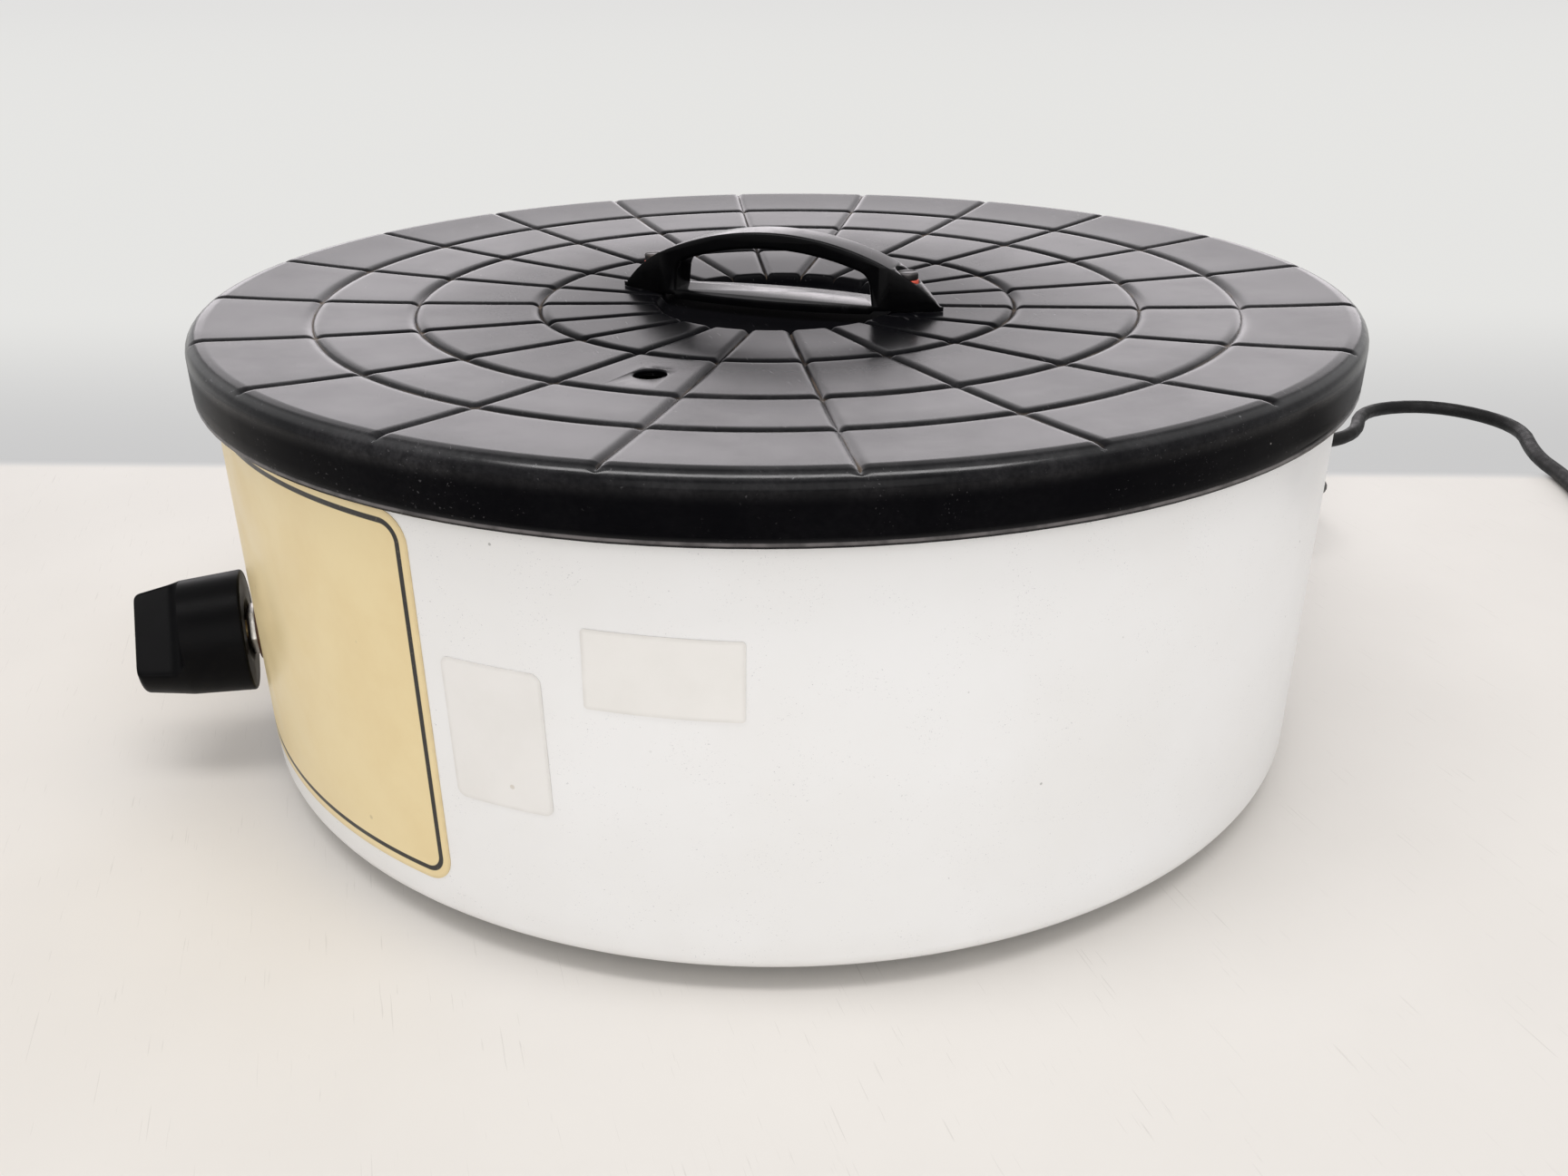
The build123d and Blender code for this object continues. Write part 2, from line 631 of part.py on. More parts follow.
# Earth stud through the base plate, with its two nuts
with BuildPart() as earth_stud:
    with BuildSketch(Plane.XY.offset(foot_height - 2)):
        with Locations(earth_place):
            Circle(3.6)
    extrude(amount=2)
    with BuildSketch(Plane.XY.offset(foot_height)):
        with Locations(earth_place):
            Circle(earth_radius)
    extrude(amount=16)
earth_stud.part.label = "earth_stud"
export_step(earth_stud.part, "parts/earth_stud.step")

with BuildPart() as earth_nuts:
    for level in (base_top, base_top + nut_height + 1.5):
        with BuildSketch(Plane.XY.offset(level)):
            with Locations(earth_place):
                RegularPolygon(nut_flats / 2, 6, major_radius=False)
                Circle(earth_radius, mode=Mode.SUBTRACT)
        extrude(amount=nut_height)
earth_nuts.part.label = "earth_nuts"
export_step(earth_nuts.part, "parts/earth_nuts.step")


# Strain relief at the back: a threaded neck in the wall, a flange and a ribbed tapering sleeve
neck_back, flange_back, flange_front = 158.0, 170.05, 172.6
lead_out = Vector(*direction(lead_angle))
relief_axis = Axis((0, 0, lead_height), direction(lead_angle))
relief_side = Plane(origin=(0, 0, lead_height), x_dir=direction(lead_angle), z_dir=direction(lead_angle - 90))
rib_count, rib_pitch = 5, 5.2
with BuildPart() as strain_relief:
    with BuildSketch(relief_side):
        with BuildLine():
            Polyline(
                (neck_back, 0), (neck_back, 8), (flange_back, 8), (flange_back, 11), (flange_front, 11),
                (flange_front, 7.6), (relief_front, relief_end_radius), (relief_front, 0), close=True,
            )
        make_face()
        fillet(vertices().sort_by_distance((flange_front, 11))[0], radius=1)
        for rib in range(rib_count):
            with Locations((flange_front + 4 + rib * rib_pitch, 8.3 - 0.42 * rib)):
                Rectangle(1.5, 4.2, mode=Mode.SUBTRACT)
    revolve(axis=relief_axis)
strain_relief.part.label = "strain_relief"
export_step(strain_relief.part, "parts/strain_relief.step")

with BuildPart() as gland_nut:
    with BuildSketch(rear.offset(163.0)):
        RegularPolygon(10.5, 6, major_radius=False)
        Circle(8, mode=Mode.SUBTRACT)
    extrude(amount=4.9)
gland_nut.part.label = "gland_nut"
export_step(gland_nut.part, "parts/gland_nut.step")


# Mains lead: out of the strain relief, down to the table behind the drum, and round to the coil
lie = lead_radius                  # height of the lead's middle where it lies on the table
coil_centre = (52.0, 424.0)
coil_turns = (30.5, 37.5, 44.5)    # radii of the turns in each of two layers
coil_start = (coil_centre[0] - 27, coil_centre[1] - coil_turns[-1], lie)
lead_exit = lead_out * relief_front + Vector(0, 0, lead_height)
lead_route = [
    lead_exit, lead_exit + lead_out * 18, (-23, 240, 31), (-38, 254, 23), (-62, 265, 11), (-91, 278, lie),
    (-116, 298, lie), (-133, 319, lie), (-135, 355, lie), (-172, 385, lie), (-166, 431, lie), (-123, 448, lie),
    (-83, 418, lie), (-53, 408, lie), (-24, 392, lie), (3, coil_start[1], lie), coil_start,
]


def corner_radii(route):
    """One radius a corner: 0.45 of its shorter run, divided by the tangent of half the turn."""
    radii = []
    for before, corner, after in zip(route, route[1:], route[2:]):
        run_in = Vector(*corner) - Vector(*before)
        run_out = Vector(*after) - Vector(*corner)
        half_turn = radians(run_in.get_angle(run_out)) / 2
        radii.append(0.45 * min(run_in.length, run_out.length) / tan(half_turn))
    return radii


with BuildPart() as mains_lead:
    with BuildLine() as lead_path:
        FilletPolyline(*lead_route, radius=corner_radii(lead_route))
    with BuildSketch(Plane(lead_path.line @ 0, z_dir=lead_path.line % 0)):
        Circle(lead_radius)
    sweep(path=lead_path.line)
mains_lead.part.label = "mains_lead"
export_step(mains_lead.part, "parts/mains_lead.step")
print("lead radii", [round(radius) for radius in corner_radii(lead_route)])
lead_length = sum(edge.length for edge in lead_path.edges())
print("lead length", round(lead_length), "volume over section times length",
      round(mains_lead.part.volume / (pi * lead_radius**2 * lead_length), 4))

# Put-away coil: a little over five turns in two layers, with the lead's ends leaving along its outer turns
coil_inner, coil_outer = coil_turns[0] - lead_radius, coil_turns[-1] + lead_radius
coil_height = 4 * lead_radius
tie_angle, tie_width, tie_thickness = 150.0, 5.0, 1.0
tail_length = 36.0
tail_height = 3 * lead_radius
tie_frame = Plane(origin=(*coil_centre, 0), x_dir=direction(tie_angle), z_dir=direction(tie_angle - 90))
with BuildPart() as lead_tie:
    with BuildSketch(tie_frame.offset(-tie_width / 2)):
        with Locations(((coil_inner + coil_outer) / 2, coil_height / 2)):
            RectangleRounded(coil_outer - coil_inner, coil_height, lead_radius)
            RectangleRounded(coil_outer - coil_inner - 2 * tie_thickness, coil_height - 2 * tie_thickness,
                             lead_radius - tie_thickness, mode=Mode.SUBTRACT)
    extrude(amount=tie_width)
lead_tie.part.label = "lead_tie"
export_step(lead_tie.part, "parts/lead_tie.step")

with BuildPart() as lead_coil:
    with BuildSketch(Plane(origin=(*coil_centre, 0), x_dir=(1, 0, 0), z_dir=(0, -1, 0))):
        with Locations(((coil_inner + coil_outer) / 2, coil_height / 2)):
            RectangleRounded(coil_outer - coil_inner, coil_height, lead_radius)
    revolve(axis=Axis((*coil_centre, 0), (0, 0, 1)))
    with BuildSketch(Plane(origin=coil_start, x_dir=(0, 1, 0), z_dir=(1, 0, 0))):
        Circle(lead_radius)
    extrude(amount=coil_centre[0] - coil_start[0])
    with BuildSketch(tie_frame.offset(-tie_width / 2)):
        with Locations(((coil_inner + coil_outer) / 2, coil_height / 2)):
            Rectangle(coil_outer - coil_inner + 1, coil_height + 1)
            RectangleRounded(coil_outer - coil_inner - 2 * tie_thickness, coil_height - 2 * tie_thickness,
                             lead_radius - tie_thickness, mode=Mode.SUBTRACT)
    extrude(amount=tie_width, mode=Mode.SUBTRACT)
    with BuildSketch(Plane(origin=(coil_centre[0] + coil_turns[-1], coil_centre[1], tail_height),
                           x_dir=(1, 0, 0), z_dir=(0, 1, 0))):
        Circle(lead_radius)
    extrude(amount=tail_length)
lead_coil.part.label = "lead_coil"
export_step(lead_coil.part, "parts/lead_coil.step")


# Moulded three-pin plug, lying on its back beside the coil with its pins up
plug_x = coil_centre[0] + coil_turns[-1]
plug_entry = coil_centre[1] + tail_length
plug_width, plug_length, plug_thickness = 50.0, 46.0, 19.0
boot_length = 14.0
pin_spread, earth_ahead = 11.1, 22.2
pin_line = plug_entry + boot_length + 11
pin_length, earth_length = 17.7, 22.7
with BuildPart() as plug_body:
    with BuildSketch():
        with BuildLine():
            Polyline(
                (plug_x - plug_width / 2 + 7, plug_entry + boot_length),
                (plug_x + plug_width / 2 - 7, plug_entry + boot_length),
                (plug_x + plug_width / 2, plug_entry + boot_length + 20),
                (plug_x + plug_width / 2 - 6, plug_entry + boot_length + plug_length),
                (plug_x - plug_width / 2 + 6, plug_entry + boot_length + plug_length),
                (plug_x - plug_width / 2, plug_entry + boot_length + 20), close=True,
            )
        make_face()
        fillet(vertices(), radius=6)
    extrude(amount=plug_thickness)
    fillet(plug_body.faces().sort_by(Axis.Z)[0].edges(), radius=3)
    with BuildSketch(Plane(origin=(plug_x, plug_entry, tail_height), x_dir=(1, 0, 0), z_dir=(0, -1, 0))) as boot_end:
        Circle(5.0)
    with BuildSketch(Plane(origin=(plug_x, plug_entry + boot_length + 2, tail_height), x_dir=(1, 0, 0),
                           z_dir=(0, -1, 0))) as boot_root:
        Circle(7.5)
    loft()
plug_body.part.label = "plug_body"
export_step(plug_body.part, "parts/plug_body.step")

with BuildPart() as plug_pins:
    with BuildSketch(Plane.XY.offset(plug_thickness)):
        with Locations((plug_x - pin_spread, pin_line), (plug_x + pin_spread, pin_line)):
            Rectangle(6.35, 4.0)
    extrude(amount=pin_length)
    with BuildSketch(Plane.XY.offset(plug_thickness)):
        with Locations((plug_x, pin_line + earth_ahead)):
            Rectangle(4.0, 7.9)
    extrude(amount=earth_length)
    chamfer(plug_pins.faces().filter_by(Axis.Z).filter_by(lambda face: face.center().Z > plug_thickness + 1).edges(),
            length=0.9)
plug_pins.part.label = "plug_pins"
export_step(plug_pins.part, "parts/plug_pins.step")

with BuildPart() as fuse_cover:
    with BuildSketch(Plane.XY.offset(plug_thickness)):
        with Locations((plug_x, pin_line + earth_ahead / 2 - 0.5)):
            RectangleRounded(26, 8, 1)
    extrude(amount=0.8)
fuse_cover.part.label = "fuse_cover"
export_step(fuse_cover.part, "parts/fuse_cover.step")


# Lid: a pressed sheet whose dished top is divided into pads by ring grooves and radial grooves
dish_radius = (rim_circle**2 + lid_sag**2) / (2 * lid_sag)
dish_centre = rim_height - lid_sag + dish_radius
skirt_bottom = rim_height - skirt_depth
pad_rise = groove_depth


def dish_height(radius, rise):
    """Height of the dished surface at a distance from the axis, raised from the groove bottoms."""
    return dish_centre - sqrt((dish_radius - rise) ** 2 - radius**2)


def dish_profile(rise, groove_half, outer):
    """The lid's section from the axis outwards: recess, pads and ring grooves, as points and arcs."""
    below = pad_rise - rise
    floor = dish_height(0, pad_rise) - recess_depth - below
    corner = recess_radius - 0.1 * below
    here = (corner, dish_height(corner, rise))
    Polyline((0, floor), (recess_floor_radius + 0.4 * below, floor), here)
    for circle in ring_circles:
        before = circle - groove_half
        after = circle + groove_half
        middle = (here[0] + before) / 2
        lip = (before, dish_height(before, rise))
        ThreePointArc(here, (middle, dish_height(middle, rise)), lip)
        here = (after, dish_height(after, rise))
        Polyline(lip, (circle, dish_height(circle, rise - groove_depth)), here)
    pad_end = pad_circle - 0.3 * below
    middle = (here[0] + pad_end) / 2
    end = (pad_end, dish_height(pad_end, rise))
    ThreePointArc(here, (middle, dish_height(middle, rise)), end)
    level = rise - groove_depth + rim_rise
    valley = rim_circle - 0.6 * below
    corner = (outer, dish_height(outer, level))
    Polyline(end, (valley, dish_height(valley, level)), corner, (outer, skirt_bottom), (0, skirt_bottom), (0, floor))


groove_reach = 1.0                 # how far the cutter stands above the pads
cutter_half = groove_width / 2 * (groove_depth + groove_reach) / groove_depth
with BuildPart() as radial_groove:
    with BuildSketch(Plane.YZ.offset(recess_floor_radius)) as groove_section:
        low = dish_height(recess_floor_radius, 0)
        with BuildLine():
            Polyline((-cutter_half, low + groove_depth + groove_reach), (0, low),
                     (cutter_half, low + groove_depth + groove_reach), close=True)
        make_face()
    with BuildLine(Plane.XZ) as groove_path:
        ThreePointArc((recess_floor_radius, low), (105, dish_height(105, 0)), (lid_radius + 3, dish_height(lid_radius + 3, 0)))
    sweep(path=groove_path.line)

rib_half = groove_width / 2 + 0.6
rib_start, rib_end = recess_radius + 1.0, rim_circle
with BuildPart() as radial_rib:
    with BuildSketch(Plane.YZ.offset(rib_start)) as rib_section:
        under = dish_height(rib_start, -lid_sheet)
        with BuildLine():
            Polyline((-rib_half, under + pad_rise + 0.3), (-rib_half, under + pad_rise), (-0.6, under), (0.6, under),
                     (rib_half, under + pad_rise), (rib_half, under + pad_rise + 0.3), close=True)
        make_face()
    with BuildLine(Plane.XZ) as rib_path:
        ThreePointArc((rib_start, under), (105, dish_height(105, -lid_sheet)), (rib_end, dish_height(rib_end, -lid_sheet)))
    sweep(path=rib_path.line)

spokes_from = lid_turn + 180 / spoke_count
with BuildPart() as lid:
    with BuildSketch(Plane.XZ):
        with BuildLine():
            dish_profile(pad_rise, groove_width / 2, lid_radius)
        make_face()
        fillet(vertices().sort_by_distance((lid_radius, rim_height))[0], radius=lid_edge)
    revolve(axis=Axis.Z)
    with BuildSketch(Plane.XZ):
        with BuildLine():
            dish_profile(pad_rise - lid_sheet, rib_half, lid_radius - lid_sheet)
        make_face()
        fillet(vertices().sort_by_distance((lid_radius - lid_sheet, rim_height - lid_sheet))[0],
               radius=lid_edge - lid_sheet)
    revolve(axis=Axis.Z, mode=Mode.SUBTRACT)
    with PolarLocations(0, spoke_count, start_angle=spokes_from):
        add(radial_rib.part)
    with PolarLocations(0, spoke_count, start_angle=spokes_from):
        add(radial_groove.part, mode=Mode.SUBTRACT)
    with BuildSketch(Plane.XY.offset(skirt_bottom)):
        with PolarLocations(vent_circle, 1, start_angle=lid_turn + vent_turn):
            Circle(vent_radius)
        with PolarLocations(handle_screw_spread, 2, start_angle=lid_turn):
            Circle(screw_radius + screw_clearance)
    extrude(amount=skirt_depth + 10, mode=Mode.SUBTRACT)
lid.part.label = "lid"
export_step(lid.part, "parts/lid.step")


# Handle: a moulded bridge whose boat-shaped foot plate drops into the lid's recess
handle_side = upright(lid_turn)
handle_foot = dish_height(handle_half, pad_rise) + 0.05
plate_rise = 1.5
handle_plate_top = handle_foot + plate_rise
pad_half = 33.0
pad_drop = 1.0
arch_radius = (arch_shoulder[0] ** 2 + (arch_height - arch_shoulder[1]) ** 2) / (2 * (arch_height - arch_shoulder[1]))
boat_radius = (handle_half**2 + handle_half_width**2) / (2 * handle_half_width)
counterbore_radius, counterbore_floor = 3.7, handle_plate_top + 5.2
handle_plan = Plane(origin=(0, 0, handle_foot), x_dir=direction(lid_turn), z_dir=(0, 0, 1))


def boat_outline():
    """Two arcs that meet in a point at each end of the handle."""
    RadiusArc((-handle_half, 0), (handle_half, 0), boat_radius)
    RadiusArc((handle_half, 0), (-handle_half, 0), boat_radius)


with BuildPart() as lid_handle:
    with BuildSketch(handle_side):
        with BuildLine():
            shoulder = (arch_shoulder[0], rim_height + arch_shoulder[1])
            arch = ThreePointArc((-shoulder[0], shoulder[1]), (0, rim_height + arch_height), shoulder)
            right_leg = TangentArc(shoulder, (handle_half, handle_foot), tangent=arch % 1)
            left_leg = mirror(right_leg, about=Plane.YZ)
            Line(right_leg @ 1, (-handle_half, handle_foot))
        make_face()
    extrude(amount=strap_width / 2, both=True)
    with BuildSketch(handle_side):
        with BuildLine():
            under_strap = rim_height + opening_height
            under_radius = arch_radius - (arch_height - opening_height)
            side_height = under_strap - under_radius + sqrt(under_radius**2 - (opening_half - 1) ** 2)
            ThreePointArc((-opening_half + 1, side_height), (0, under_strap), (opening_half - 1, side_height))
            Polyline((opening_half - 1, side_height), (opening_half, handle_plate_top),
                     (-opening_half, handle_plate_top), (-opening_half + 1, side_height))
        make_face()
        fillet(vertices().group_by(Axis.Y)[-1], radius=opening_corner)
    extrude(amount=strap_width, both=True, mode=Mode.SUBTRACT)
    strap_edges = lid_handle.edges().filter_by_position(Axis.Z, handle_plate_top + 4, rim_height + arch_height + 1)
    fillet(strap_edges.filter_by(lambda edge: edge.length > strap_width + 4), radius=1.2)
    with BuildSketch(handle_plan):
        with BuildLine():
            boat_outline()
        make_face()
    extrude(amount=40, mode=Mode.INTERSECT)
    with BuildSketch(handle_plan):
        with BuildLine():
            boat_outline()
        make_face()
    extrude(amount=plate_rise)
    with BuildSketch(handle_plan.offset(-pad_drop)):
        with BuildLine():
            boat_outline()
        make_face()
        Rectangle(2 * pad_half, 30, mode=Mode.INTERSECT)
    extrude(amount=pad_drop)
    with BuildSketch(handle_plan):
        with Locations((-handle_screw_spread, 0), (handle_screw_spread, 0)):
            Circle(screw_radius + screw_clearance)
    extrude(amount=30, mode=Mode.SUBTRACT)
    with BuildSketch(Plane.XY.offset(counterbore_floor)):
        with PolarLocations(handle_screw_spread, 2, start_angle=lid_turn):
            Circle(counterbore_radius)
    extrude(amount=20, mode=Mode.SUBTRACT)
lid_handle.part.label = "lid_handle"
export_step(lid_handle.part, "parts/lid_handle.step")


# Handle fixings: red fibre washer under each screw head, washer and nut under the lid
washer_height, nut_washer_radius = 0.8, 4.1
nut_washer_top = dish_height(handle_screw_spread - nut_washer_radius, pad_rise - lid_sheet) - 0.02
with BuildPart() as screw_washers:
    with BuildSketch(Plane.XY.offset(counterbore_floor)):
        with PolarLocations(handle_screw_spread, 2, start_angle=lid_turn):
            Circle(counterbore_radius - 0.1)
            Circle(screw_radius, mode=Mode.SUBTRACT)
    extrude(amount=washer_height)
screw_washers.part.label = "screw_washers"
export_step(screw_washers.part, "parts/screw_washers.step")

head_bottom = counterbore_floor + washer_height
head_height = 2.2
screw_end = nut_washer_top - washer_height - nut_height - 1.5
with BuildPart() as handle_screws:
    with BuildSketch(Plane.XY.offset(head_bottom)):
        with PolarLocations(handle_screw_spread, 2, start_angle=lid_turn):
            Circle(3.4)
    extrude(amount=head_height)
    fillet(handle_screws.edges().filter_by(GeomType.CIRCLE).group_by(Axis.Z)[-1], radius=0.7)
    with BuildSketch(Plane.XY.offset(head_bottom + head_height - 1.1)):
        with PolarLocations(handle_screw_spread, 2, start_angle=lid_turn):
            Rectangle(7.2, 0.9, rotation=35)
    extrude(amount=2, mode=Mode.SUBTRACT)
    with BuildSketch(Plane.XY.offset(screw_end)):
        with PolarLocations(handle_screw_spread, 2, start_angle=lid_turn):
            Circle(screw_radius)
    extrude(amount=head_bottom - screw_end)
handle_screws.part.label = "handle_screws"
export_step(handle_screws.part, "parts/handle_screws.step")

with BuildPart() as nut_washers:
    with BuildSketch(Plane.XY.offset(nut_washer_top - washer_height)):
        with PolarLocations(handle_screw_spread, 2, start_angle=lid_turn):
            Circle(nut_washer_radius)
            Circle(screw_radius, mode=Mode.SUBTRACT)
    extrude(amount=washer_height)
nut_washers.part.label = "nut_washers"
export_step(nut_washers.part, "parts/nut_washers.step")

with BuildPart() as handle_nuts:
    with BuildSketch(Plane.XY.offset(nut_washer_top - washer_height - nut_height)):
        with PolarLocations(handle_screw_spread, 2, start_angle=lid_turn):
            RegularPolygon(nut_flats / 2, 6, major_radius=False)
            Circle(screw_radius, mode=Mode.SUBTRACT)
    extrude(amount=nut_height)
handle_nuts.part.label = "handle_nuts"
export_step(handle_nuts.part, "parts/handle_nuts.step")
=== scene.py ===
import json
from math import cos, exp, pi, radians, sin, sqrt, tan

import bmesh
import bpy
from mathutils import Matrix, Vector


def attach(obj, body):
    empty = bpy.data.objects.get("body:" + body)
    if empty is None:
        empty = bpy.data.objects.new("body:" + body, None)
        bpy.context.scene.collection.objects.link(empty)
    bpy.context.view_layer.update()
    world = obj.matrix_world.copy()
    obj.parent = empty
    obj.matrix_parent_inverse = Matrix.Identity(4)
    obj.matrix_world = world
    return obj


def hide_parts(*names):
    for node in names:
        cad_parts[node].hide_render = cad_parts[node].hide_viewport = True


# A tissue flotation bath: a white enamelled drum with a black patterned lid, seen on a pale bench.
# Shapes are worked out in millimetres and become metres as each piece is finished.

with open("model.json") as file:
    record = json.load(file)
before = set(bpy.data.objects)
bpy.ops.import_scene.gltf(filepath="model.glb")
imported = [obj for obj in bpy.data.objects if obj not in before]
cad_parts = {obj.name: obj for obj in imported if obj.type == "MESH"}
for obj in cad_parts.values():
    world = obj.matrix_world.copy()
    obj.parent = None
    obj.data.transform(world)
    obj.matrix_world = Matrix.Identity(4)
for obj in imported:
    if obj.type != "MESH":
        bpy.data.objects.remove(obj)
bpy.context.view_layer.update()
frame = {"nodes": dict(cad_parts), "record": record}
body_of = {node: body for body, nodes in frame["record"]["behaviour"]["bodies"].items() for node in nodes}
MM = 0.001

drum_radius = 170.0
# Films round the drum: half width, half height and corner radius
label_shape, tall_shape, low_shape = (128.47, 51.25, 8.0), (13.5, 19.25, 2.5), (18.5, 10.15, 1.0)


# ---------------------------------------------------------------- camera
camera_data = bpy.data.cameras.new("camera")
camera_data.lens = 30.804
camera_data.sensor_width = 36.0
camera_data.sensor_fit = "HORIZONTAL"
camera = bpy.data.objects.new("camera", camera_data)
bpy.context.collection.objects.link(camera)
camera_place = Vector((0.40705, -0.12529, 0.23147))
camera_right = Vector((0.300331, 0.953813, -0.006460))
camera_up = Vector((-0.406244, 0.134038, 0.903880))
camera_ahead = Vector((-0.862999, 0.268839, -0.427737))
turn = Matrix((camera_right, camera_up, -camera_ahead)).transposed()
camera.matrix_world = Matrix.Translation(camera_place) @ turn.to_4x4()
bpy.context.scene.camera = camera


# ---------------------------------------------------------------- ways to mix a finish
class Finish:
    """A finish being mixed: one shader, and short ways to put patterns into it."""

    def __init__(self, name, colour, roughness, metallic=0.0, **sockets):
        self.material = bpy.data.materials.new(name)
        self.material.use_nodes = True
        self.nodes = self.material.node_tree.nodes
        self.links = self.material.node_tree.links
        self.shader = self.nodes["Principled BSDF"]
        self.shader.inputs["Base Color"].default_value = (*colour, 1)
        self.shader.inputs["Roughness"].default_value = roughness
        self.shader.inputs["Metallic"].default_value = metallic
        for socket, value in sockets.items():
            self.shader.inputs[socket.replace("_", " ")].default_value = value
        self.bumped = None

    def add(self, kind, inputs=None, **settings):
        """A new node, with its settings, and each input linked or set."""
        node = self.nodes.new("ShaderNode" + kind)
        for name, value in settings.items():
            setattr(node, name, value)
        for name, value in (inputs or {}).items():
            if isinstance(value, bpy.types.NodeSocket):
                self.links.new(value, node.inputs[name])
            else:
                node.inputs[name].default_value = value
        return node

    def place(self, scale=(1, 1, 1), turned=(0, 0, 0)):
        """Object coordinates in millimetres, stretched and turned."""
        where = self.add("TexCoord").outputs["Object"]
        in_mm = self.add("Mapping", {"Vector": where, "Scale": (1000, 1000, 1000)}).outputs[0]
        return self.add("Mapping", {"Vector": in_mm, "Rotation": turned, "Scale": scale}).outputs[0]

    def noise(self, vector, size, detail, roughness=0.5, warp=0.0):
        """Noise whose blotches are about that many millimetres across."""
        return self.add("TexNoise", {"Vector": vector, "Scale": 1 / size, "Detail": detail,
                                     "Roughness": roughness, "Distortion": warp}).outputs[0]

    def sums(self, operation, a, b=0.0, clamp=False):
        """One sum of one or two values, named as the Math node names it."""
        return self.add("Math", {0: a, 1: b}, operation=operation, use_clamp=clamp).outputs[0]

    def step(self, value, low, high, start=0.0, end=1.0):
        """start below low, end above high, and a smooth change between them."""
        limits = {"Value": value, "From Min": low, "From Max": high, "To Min": start, "To Max": end}
        return self.add("MapRange", limits, interpolation_type="SMOOTHSTEP", clamp=True).outputs[0]

    def mix(self, amount, a, b):
        """From colour a to colour b by an amount from 0 to 1."""
        a = a if isinstance(a, bpy.types.NodeSocket) else (*a, 1)
        b = b if isinstance(b, bpy.types.NodeSocket) else (*b, 1)
        return self.add("Mix", {0: amount, 6: a, 7: b}, data_type="RGBA").outputs[2]

    def specks(self, vector, spacing):
        """Distance from the nearest of many points strewn that many millimetres apart, in spacings."""
        return self.add("TexVoronoi", {"Vector": vector, "Scale": 1 / spacing}, feature="F1").outputs["Distance"]

    def colour(self, socket):
        self.links.new(socket, self.shader.inputs["Base Color"])

    def rough(self, socket):
        self.links.new(socket, self.shader.inputs["Roughness"])

    def surface(self, socket):
        self.links.new(socket, self.nodes["Material Output"].inputs["Surface"])

    def bump(self, height, depth, strength=1.0):
        """Relief: height goes from 0 to 1 over that many millimetres."""
        inputs = {"Height": height, "Distance": depth * MM, "Strength": strength}
        if self.bumped:
            inputs["Normal"] = self.bumped
        self.bumped = self.add("Bump", inputs).outputs[0]
        self.links.new(self.bumped, self.shader.inputs["Normal"])


def scratches(finish, size, share, turned, stretch=14.0):
    """Fine straight marks: noise drawn out along one direction, of which only the peaks are kept."""
    where = finish.place((1 / stretch, 1, 1), turned)
    lines = finish.noise(where, size, 2.0, 0.6)
    patches = finish.noise(finish.place(), size * 26, 2.0)
    return finish.sums("MULTIPLY", finish.step(lines, share, share + 0.03), finish.step(patches, 0.5, 0.62))


